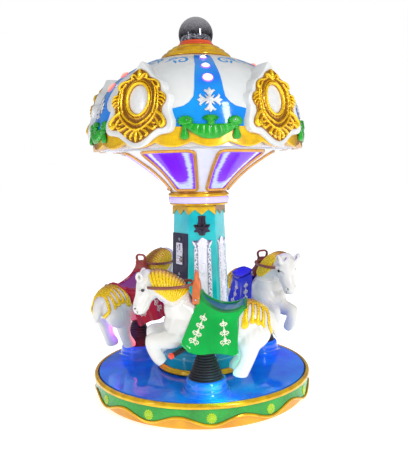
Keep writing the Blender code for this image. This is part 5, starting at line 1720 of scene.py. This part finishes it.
# Rump fringe: gold drapery moulded over the rump, its fingers hanging down both flanks
fringe_fingers = [[(-0.236, 0.030, 0.690, 0.0130), (-0.232, 0.070, 0.662, 0.0125),
                   (-0.228, 0.100, 0.625, 0.0115), (-0.222, 0.112, 0.592, 0.0160),
                   (-0.224, 0.113, 0.566, 0.0210), (-0.214, 0.112, 0.548, 0.0150)],
                  [(-0.268, 0.030, 0.688, 0.0110), (-0.270, 0.075, 0.650, 0.0105),
                   (-0.266, 0.100, 0.612, 0.0100), (-0.262, 0.108, 0.584, 0.0150),
                   (-0.264, 0.108, 0.572, 0.0130)],
                  [(-0.298, 0.030, 0.676, 0.0105), (-0.301, 0.075, 0.640, 0.0098),
                   (-0.296, 0.096, 0.602, 0.0105), (-0.292, 0.100, 0.578, 0.0150),
                   (-0.296, 0.100, 0.562, 0.0110)],
                  [(-0.324, 0.030, 0.656, 0.0105), (-0.328, 0.068, 0.620, 0.0095),
                   (-0.322, 0.086, 0.585, 0.0105), (-0.318, 0.090, 0.560, 0.0120),
                   (-0.322, 0.090, 0.544, 0.0080)],
                  [(-0.345, 0.030, 0.626, 0.0115), (-0.350, 0.056, 0.590, 0.0100),
                   (-0.347, 0.066, 0.556, 0.0110), (-0.343, 0.066, 0.530, 0.0110),
                   (-0.345, 0.050, 0.505, 0.0130), (-0.352, 0.026, 0.492, 0.0140)]]
fringe_spine = [(-0.218, 0.0, 0.690), (-0.240, 0.0, 0.692), (-0.270, 0.0, 0.684), (-0.300, 0.0, 0.664),
                (-0.325, 0.0, 0.638), (-0.342, 0.0, 0.612)]
fringe = bmesh.new()


def body_facing(point):
    """The way out from the horse's body next to a point."""
    return body_surface.find_nearest(point)[1]


def laid(surface, points, lift):
    """Points (x, y, z, ...) set down on a surface, lifted off it a little."""
    result = []
    for point in points:
        seat, outward, _, _ = surface.find_nearest(Vector(point[:3]))
        result.append((*(seat + outward * lift), *point[3:]))
    return result


swept(fringe,
      [(x, y, z, 0.044, 0.0080) for x, y, z in laid(body_surface, smooth_line(fringe_spine, 6), -0.001)],
      body_facing, 24)
for side in (1.0, -1.0):
    for finger in fringe_fingers:
        line = [(x, side * y, z, 1.03 * wide, 0.0080) for x, y, z, wide in smooth_line(finger, 6)]
        swept(fringe, laid(body_surface, line, 0.0005), body_facing, 14)
fringe_mesh = evaluated(fringe, ("REMESH", {"mode": "VOXEL", "voxel_size": 0.003}),
                        ("SMOOTH", {"factor": 0.5, "iterations": 4}))
# Painted shade and highlight: the gold runs deep where the fringe lies low on the body and toward the top of
# the rump, and bright on what stands up.
fringe_top = 0.700
fringe_lighting = []
for point in points_of(fringe_mesh):
    seat, outward, _, _ = body_surface.find_nearest(point)
    height = (Vector(point) - seat).dot(outward) / 0.006
    fringe_lighting.append(height * min(max((fringe_top - point[2]) / 0.09, 0.25), 1.0))
measure(fringe_mesh, "relief_lighting", np.clip(fringe_lighting, 0.0, 1.0))
fringe_gold = relief_shaded_lacquer("fringe_gold_painted_relief_shade", "#8A5620", "#C89010", "#FFD400", 0.35)


# Saddles: a dished seat with a rolled rim, moulded in one with a blanket that flares to
# its hem, in coloured gelcoat. Cream scrolls are painted on the blanket with a stencil.
saddle_front = 0.018
saddle_back = -0.226
hem_front = 0.130
hem_back = -0.184
saddle_rows = 60
saddle_thick = 0.008


def saddle_arch(share, detail=5):
    """One arch of the saddle's top, from the right hem over the seat to the left hem."""
    dip = sin(pi * min(1.0, share * 1.08)) ** 0.7 if 0.0 < share < 1.0 / 1.08 else 0.0
    top = 0.726 - 0.048 * share - 0.082 * dip
    wide = 0.050 + 0.050 * sin(0.5 * pi * min(1.0, 1.6 * share)) - 0.020 * share ** 4
    edge = top + 0.016 * dip - 0.034 * share ** 4 - 0.014 * (1.0 - share) ** 4
    hem = 0.424 - 0.016 * share + 0.006 * cos(3.0 * pi * share)
    hem += 0.046 * max(1.0 - share / 0.17, 0.0) ** 2.2 + 0.024 * max(1.0 - (1.0 - share) / 0.12, 0.0) ** 2
    half = [(0.0, top), (0.55 * wide, 0.6 * top + 0.4 * edge), (wide, edge), (wide + 0.012, edge - 0.020),
            (0.5 * wide + 0.064, 0.5 * (edge + 0.556)), (0.124, 0.530), (0.142, 0.470), (0.160, hem)]
    x_top = saddle_front + (saddle_back - saddle_front) * share
    x_hem = hem_front + (hem_back - hem_front) * share
    arch = []
    for y, z in smooth_line([(-y, z) for y, z in half[:0:-1]] + half, detail):
        drop = max(edge - z, 0.0) if abs(y) > 0.98 * wide else 0.0
        tuck = 0.22 * min(max((0.492 - z) / 0.045, 0.0), 1.2) ** 2
        tucked = min(drop / 0.260, 1.0) - tuck * max(1.0 - share / 0.17, 0.0)
        lower = (1.0 - share) * tucked + share * min(drop / 0.050, 1.0)
        fold = 0.007 * cos(3.0 * pi * share) * min(drop / 0.200, 1.0)
        arch.append(Vector((x_top + (x_hem - x_top) * lower, y + math.copysign(fold, y), z)))
    return arch


arches = [saddle_arch(row / saddle_rows) for row in range(saddle_rows + 1)]


def saddle_normal(row, column):
    """The way out from the saddle's top at one point of its arches."""
    back = arches[min(row + 1, saddle_rows)][column] - arches[max(row - 1, 0)][column]
    over = arches[row][min(column + 1, len(arches[row]) - 1)] - arches[row][max(column - 1, 0)]
    return over.cross(back).normalized()


saddle_rings = []
for row in range(saddle_rows + 1):
    ring = [point.copy() for point in arches[row]]
    lining = [point - saddle_thick * saddle_normal(row, column) for column, point in enumerate(arches[row])]
    saddle_rings.append(ring + lining[::-1])
saddle_build = skinned(saddle_rings)
saddle_mesh = evaluated(saddle_build, ("BEVEL", {"width": 0.0030, "segments": 3, "limit_method": "ANGLE",
                                                 "angle_limit": radians(60.0)}))
saddle_mesh.set_sharp_from_angle(angle=radians(50.0))
places = points_of(saddle_mesh)
share = np.clip((saddle_front - places[:, 0]) / (saddle_front - saddle_back), 0.0, 1.0)
seat_half = 0.050 + 0.050 * np.sin(0.5 * pi * np.minimum(1.0, 1.6 * share)) - 0.020 * share ** 4
# The seat's dish is marked for a painted pool of the canopy's violet and blue light.
seat_light_share = np.clip((seat_half + 0.002 - np.abs(places[:, 1])) / 0.006, 0.0, 1.0) * (places[:, 2] > 0.595)
measure(saddle_mesh, "seat", seat_light_share)
saddle_form = bmesh.new()
saddle_form.from_mesh(saddle_mesh)
saddle_surface = BVHTree.FromBMesh(saddle_form)
saddle_form.free()
rim_column = 5 * 5
rim_path = [arches[row][-1 - rim_column] for row in range(2, saddle_rows - 1, 2)]
rim_back = [arches[saddle_rows][column]
            for column in range(len(arches[0]) - 1 - rim_column, rim_column - 1, -3)]
rim_front = [arches[0][column] for column in range(rim_column, len(arches[0]) - rim_column, 3)]
rim_loop = rim_path + rim_back + [Vector((p.x, -p.y, p.z)) for p in rim_path[::-1]] + rim_front
rim_loop.append(rim_loop[0])
rim = bmesh.new()
swept(rim, [(*(point + Vector((0.0, 0.0, 0.001))), 0.0115, 0.0100) for point in rim_loop], (0.0, 0.0, 1.0),
      16, ends=False)
rim_mesh = evaluated(rim, ("REMESH", {"mode": "VOXEL", "voxel_size": 0.0035}),
                     ("SMOOTH", {"factor": 0.5, "iterations": 6}))

volute = ((0.0, 0.0), (0.5, 0.45), (1.2, 0.85), (2.0, 0.70), (2.3, 0.05), (1.8, -0.45), (1.25, -0.15),
          (1.45, 0.25))
frond = ((0.0, -0.30), (0.9, -0.75), (1.5, -1.35))
plume = ((0.0, 0.3), (0.45, 1.1), (0.40, 2.0))


def candelabrum(foot, lean, joints, size):
    """A stem (x, z) with a pair of volutes, fronds and plumes at each joint, even on both sides."""
    reach = Vector(lean)
    up = reach.normalized()
    strokes = [[Vector(foot) - 0.9 * size * up, Vector(foot) + 0.5 * reach,
                Vector(foot) + reach + 2.4 * size * up]]
    for index in range(joints):
        share = index / (joints - 1)
        unit = size * (1.0 - 0.3 * share)
        for hand in (1.0, -1.0):
            across = hand * Vector((up.y, -up.x))
            strokes += [[Vector(foot) + share * reach + unit * (a * across + b * up) for a, b in shape]
                        for shape in (volute, frond, plume)]
    return [[tuple(point) for point in stroke] for stroke in strokes]


scroll_size = 0.0112
scrolls = candelabrum((0.052, 0.478), (-0.050, 0.118), 4, scroll_size)
scrolls += candelabrum((-0.118, 0.474), (0.010, 0.092), 3, scroll_size)
stencil = bmesh.new()


def saddle_facing(point):
    """The way out from the saddle next to a point."""
    return saddle_surface.find_nearest(point)[1]


for side in (1.0, -1.0):
    for scroll in scrolls:
        curve = smooth_line(scroll, 5)
        count = len(curve) - 1
        line = [(x, side * 0.150, z, 0.0015 + 0.0013 * sin(pi * index / count), 0.0007)
                for index, (x, z) in enumerate(curve)]
        hits = []
        for x, y, z, wide, thin in line:
            seat, _, _, _ = saddle_surface.ray_cast(Vector((x, side * 0.3, z)), Vector((0.0, -side, 0.0)))
            if seat:
                hits.append((*seat, wide, thin))
        if len(hits) > 1:
            swept(stencil, hits, saddle_facing, 8)
stencil_mesh = thinned(closed_mesh("stencil", stencil), 0.4, 32.0)
cream_paint = enamel("stencilled_cream_enamel", "#EFEBD6", 0.3)
# Each saddle: its name, bright and deep gelcoat, rim colour, and the seat's painted light, a violet-blue pool
# from the canopy's lamps.
saddle_colours = (("green", "#00B84A", "#00A040", "#006A30", "#00688C"),
                  ("blue", "#1030E8", "#0A1CC0", "#1A00C8", "#1A06F0"),
                  ("red", "#E02038", "#B81430", "#9A1040", "#8E2C84"))


# Handles: a forked nylon plate across the withers with an open ring grip, screwed to the
# casting on each side. The reins are a flat nylon band round the mane's back.
handle_x = 0.040
handle_centre = 0.0425
handle_fork = [(0.000, 0.790), (0.030, 0.788), (0.031, 0.770), (0.036, 0.752), (0.056, 0.724), (0.074, 0.702),
               (0.080, 0.680), (0.073, 0.661), (0.056, 0.662), (0.046, 0.679), (0.030, 0.699), (0.014, 0.712),
               (0.000, 0.715)]
grip_line = [(0.000, 0.8305), (0.020, 0.8300), (0.034, 0.8200), (0.0355, 0.8060), (0.0290, 0.7880),
             (0.0200, 0.7770)]
handle_swell = ((0.650, 1.15), (0.680, 1.45), (0.720, 1.75), (0.770, 1.65), (0.795, 1.10), (0.840, 0.80))
handle = chamfered(rounded(mirrored(handle_fork)[::-1], 0.006), [(-0.013, 0.0), (0.013, 0.0)],
                   lambda x, z, out: Vector((handle_x + out, x, z)))
grip = [(handle_x, y, z, 0.0068, 0.0110) for y, z in smooth_line(grip_line[::-1], 5)]
grip += [(x, -y, z, wide, thin) for x, y, z, wide, thin in grip[:-1][::-1]]
swept(handle, grip, (1.0, 0.0, 0.0), 14)
handle_mesh = evaluated(handle, ("REMESH", {"mode": "VOXEL", "voxel_size": 0.0024}),
                        ("SMOOTH", {"factor": 0.5, "iterations": 5}))
places = points_of(handle_mesh)
swell = np.interp(places[:, 2], [z for z, _ in handle_swell], [k for _, k in handle_swell])
places[:, 0] = handle_centre + (places[:, 0] - handle_x) * swell
handle_mesh.vertices.foreach_set("co", places.astype(np.float32).ravel())


def nylon(name, colour, worn, roughness=0.38, grain_mm=2.2):
    """Injection-moulded nylon: a satin skin, fine grain, and paler where hands rub it."""
    material, shader = new_material(name)
    tree = material.node_tree
    rub = noise(tree, 35.0, 4.0)
    relief = add(tree, "Bump", {"Strength": 0.3, "Distance": 0.0003, "Height": noise(tree, grain_mm, 2.0)})
    fill(shader,
         {"Base Color": blended(tree, ranged(tree, rub, 0.4, 0.7, 0.0, 0.8), srgb(colour), srgb(worn)),
          "Roughness": ranged(tree, rub, 0.3, 0.7, roughness * 1.2, roughness * 0.7),
          "Normal": relief.outputs[0]})
    return material


handle_finish = (nylon("moulded_tan_nylon", "#D8703A", "#E88648"),
                 nylon("moulded_brown_nylon", "#7A2C34", "#8C3A3C"),
                 nylon("moulded_russet_nylon", "#9A3C34", "#AA4A3C"))
rein_finish = nylon("moulded_rein_nylon", "#84483A", "#96584A", 0.34)
rein_path = [(0.311, 0.058, 0.757), (0.300, 0.076, 0.757), (0.266, 0.097, 0.758), (0.190, 0.108, 0.761),
             (0.125, 0.103, 0.765), (0.086, 0.079, 0.768), (0.070, 0.040, 0.769), (0.069, 0.000, 0.769)]
rein_path += [(x, -y, z) for x, y, z in rein_path[:-1][::-1]]
rein = bmesh.new()
swept(rein, [(*point, 0.0086, 0.0046) for point in smooth_line(rein_path, 6)],
      lambda point: Vector((point.x - 0.19, point.y * 1.6, 0.0)), 14)
rein_mesh = closed_mesh("rein", rein, 50.0)
screw_x = 0.043
screw_height = 0.690
screw_rings = ((0.0062, 0.0760), (0.0062, 0.0812), (0.0048, 0.0828), (0.0022, 0.0828), (0.0018, 0.0814))
screw_turns = [2.0 * pi * step / 24 for step in range(24)]
screws = bmesh.new()
for side in (1.0, -1.0):
    rings = [[(screw_x + radius * sin(turn), side * out, screw_height + radius * cos(turn))
              for turn in screw_turns] for radius, out in screw_rings]
    screws.from_mesh(closed_mesh("screw", skinned(rings)))
screws_mesh = closed_mesh("screws", screws)


# Foot pegs: a bent steel bar through the belly, in ribbed rubber sleeves with moulded end
# caps in orange.
peg_end = Vector((0.176, 0.188, 0.408))
peg_root = Vector((0.112, 0.095, 0.421))
peg_caps = 0.016
peg_steps = 48
peg_ribs = 11.0
sleeve = bmesh.new()
caps = bmesh.new()
for side in (1.0, -1.0):
    start = Vector((peg_root.x, side * peg_root.y, peg_root.z))
    end = Vector((peg_end.x, side * peg_end.y, peg_end.z))
    along = (end - start).normalized()
    length = (end - start).length
    ribs = []
    for step in range(peg_steps + 1):
        share = step / peg_steps
        rib = 0.0128 + 0.0020 * (0.5 + 0.5 * sin(2.0 * pi * share * peg_ribs)) ** 0.5
        ribs.append((*(start + along * (length - peg_caps) * share), rib, rib))
    swept(sleeve, ribs, (0.0, 0.0, 1.0), 18, ends=False)
    swept(caps, [(*(start + along * (length - peg_caps + touch)), 0.0162, 0.0162),
                 (*(end - along * 0.003), 0.0162, 0.0162), (*end, 0.0130, 0.0130)], (0.0, 0.0, 1.0), 24,
          ends=False)
inner_path = [peg_root, Vector((0.100, 0.0, 0.424)), Vector((peg_root.x, -peg_root.y, peg_root.z))]
swept(sleeve, [(*point, 0.011, 0.011) for point in smooth_line(inner_path, 6)], (0.0, 0.0, 1.0), 18,
      ends=False)
peg_rubber = nylon("ribbed_dark_rubber", "#2A1C18", "#3A2A24", 0.55)
cap_orange = gelcoat("moulded_orange_cap", "#FF4A1E", "#E0340E", 0.25)
sleeve_mesh = closed_mesh("sleeves", sleeve, 55.0)
cap_mesh = closed_mesh("caps", caps, 55.0)


# Bellows: black rubber cones with sharp convolutions, clamped to the mound and the belly.
bellows_foot = 0.099
bellows_head = 0.038
bellows_ridges = 12
belly = 0.400
ridge_deep = 0.008
ridge_steps = 4
neck_inside = 0.030
rubber, rubber_shader = new_material("moulded_black_rubber")
bloom = noise(rubber.node_tree, 20.0, 5.0)
fill(rubber_shader, {"Base Color": blended(rubber.node_tree, bloom, srgb("#161618"), srgb("#2E2E32")),
                     "Roughness": ranged(rubber.node_tree, bloom, 0.3, 0.7, 0.30, 0.50)})


def bellows(top):
    """The bellows' shape between the mound and a belly at a height, with a neck that runs
    on up into the casting."""
    low = mound_top + touch
    outline = [(0.0, low), (bellows_foot, low)]
    steps = ridge_steps * bellows_ridges
    for step in range(1, steps + 1):
        share = step / steps
        ridge = abs(cos(pi * share * bellows_ridges)) ** 0.7
        outline.append((bellows_foot + (bellows_head - bellows_foot) * share - ridge_deep * (1.0 - ridge),
                        low + (top - low) * share))
    return turned(outline + [(bellows_head - 0.004, top + neck_inside), (0.0, top + neck_inside)], 64)


horse_mesh = thinned(horse_mesh, 0.38)
mane_mesh = thinned(mane_mesh, 0.36)
fringe_mesh = thinned(fringe_mesh, 0.36)
rim_mesh = thinned(rim_mesh, 0.45)
handle_mesh = thinned(handle_mesh, 0.45)
saddle_mesh = thinned(saddle_mesh, 0.6, 50.0)
for index in range(horses):
    label = "horse_%d" % (index + 1)
    body = label
    colour_name, bright, deep, rim_shade, seat_painted_light = saddle_colours[index]
    place = horse_place(index)
    piece(label + "_casting", horse_mesh, horse_gelcoat, body, [label + "_body"], place)
    piece(label + "_eyes", eye_mesh, eye_black, body, place=place)
    piece(label + "_combed_mane", mane_mesh, mane_gold, body, [label + "_mane"], place)
    piece(label + "_rump_fringe", fringe_mesh, fringe_gold, body, place=place)
    seat_finish = gelcoat("%s_saddle_gelcoat" % colour_name, bright, deep, 0.16)
    # The seat's dish gets painted light of the canopy's lamps in its own tone, and is left more matt.
    painted_over(seat_finish, "seat", seat_painted_light, 0.30)
    piece(label + "_blanket_saddle", saddle_mesh, seat_finish, body,
          [label + "_saddle"], place)
    rim_finish = gelcoat("%s_rim_gelcoat" % colour_name, rim_shade, deep, 0.10)
    piece(label + "_saddle_rim", rim_mesh, rim_finish, body, place=place)
    piece(label + "_blanket_scrolls", stencil_mesh, cream_paint, body, place=place)
    piece(label + "_ring_handle", handle_mesh, handle_finish[index], body, [label + "_handle"],
          place)
    piece(label + "_handle_screws", screws_mesh, chrome, body, place=place)
    piece(label + "_flat_rein", rein_mesh, rein_finish, body, [label + "_rein"], place)
    piece(label + "_peg_sleeves", sleeve_mesh, peg_rubber, body, [label + "_foot_pegs"], place)
    piece(label + "_peg_caps", cap_mesh, cap_orange, body, place=place)
    boot = piece(label + "_ribbed_bellows", bellows(belly + horse_rise[index]), rubber,
                 "turntable", [label + "_bellows"], horse_place(index, rise=False), 60.0)
    length = belly + horse_rise[index] - mound_top
    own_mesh(boot)
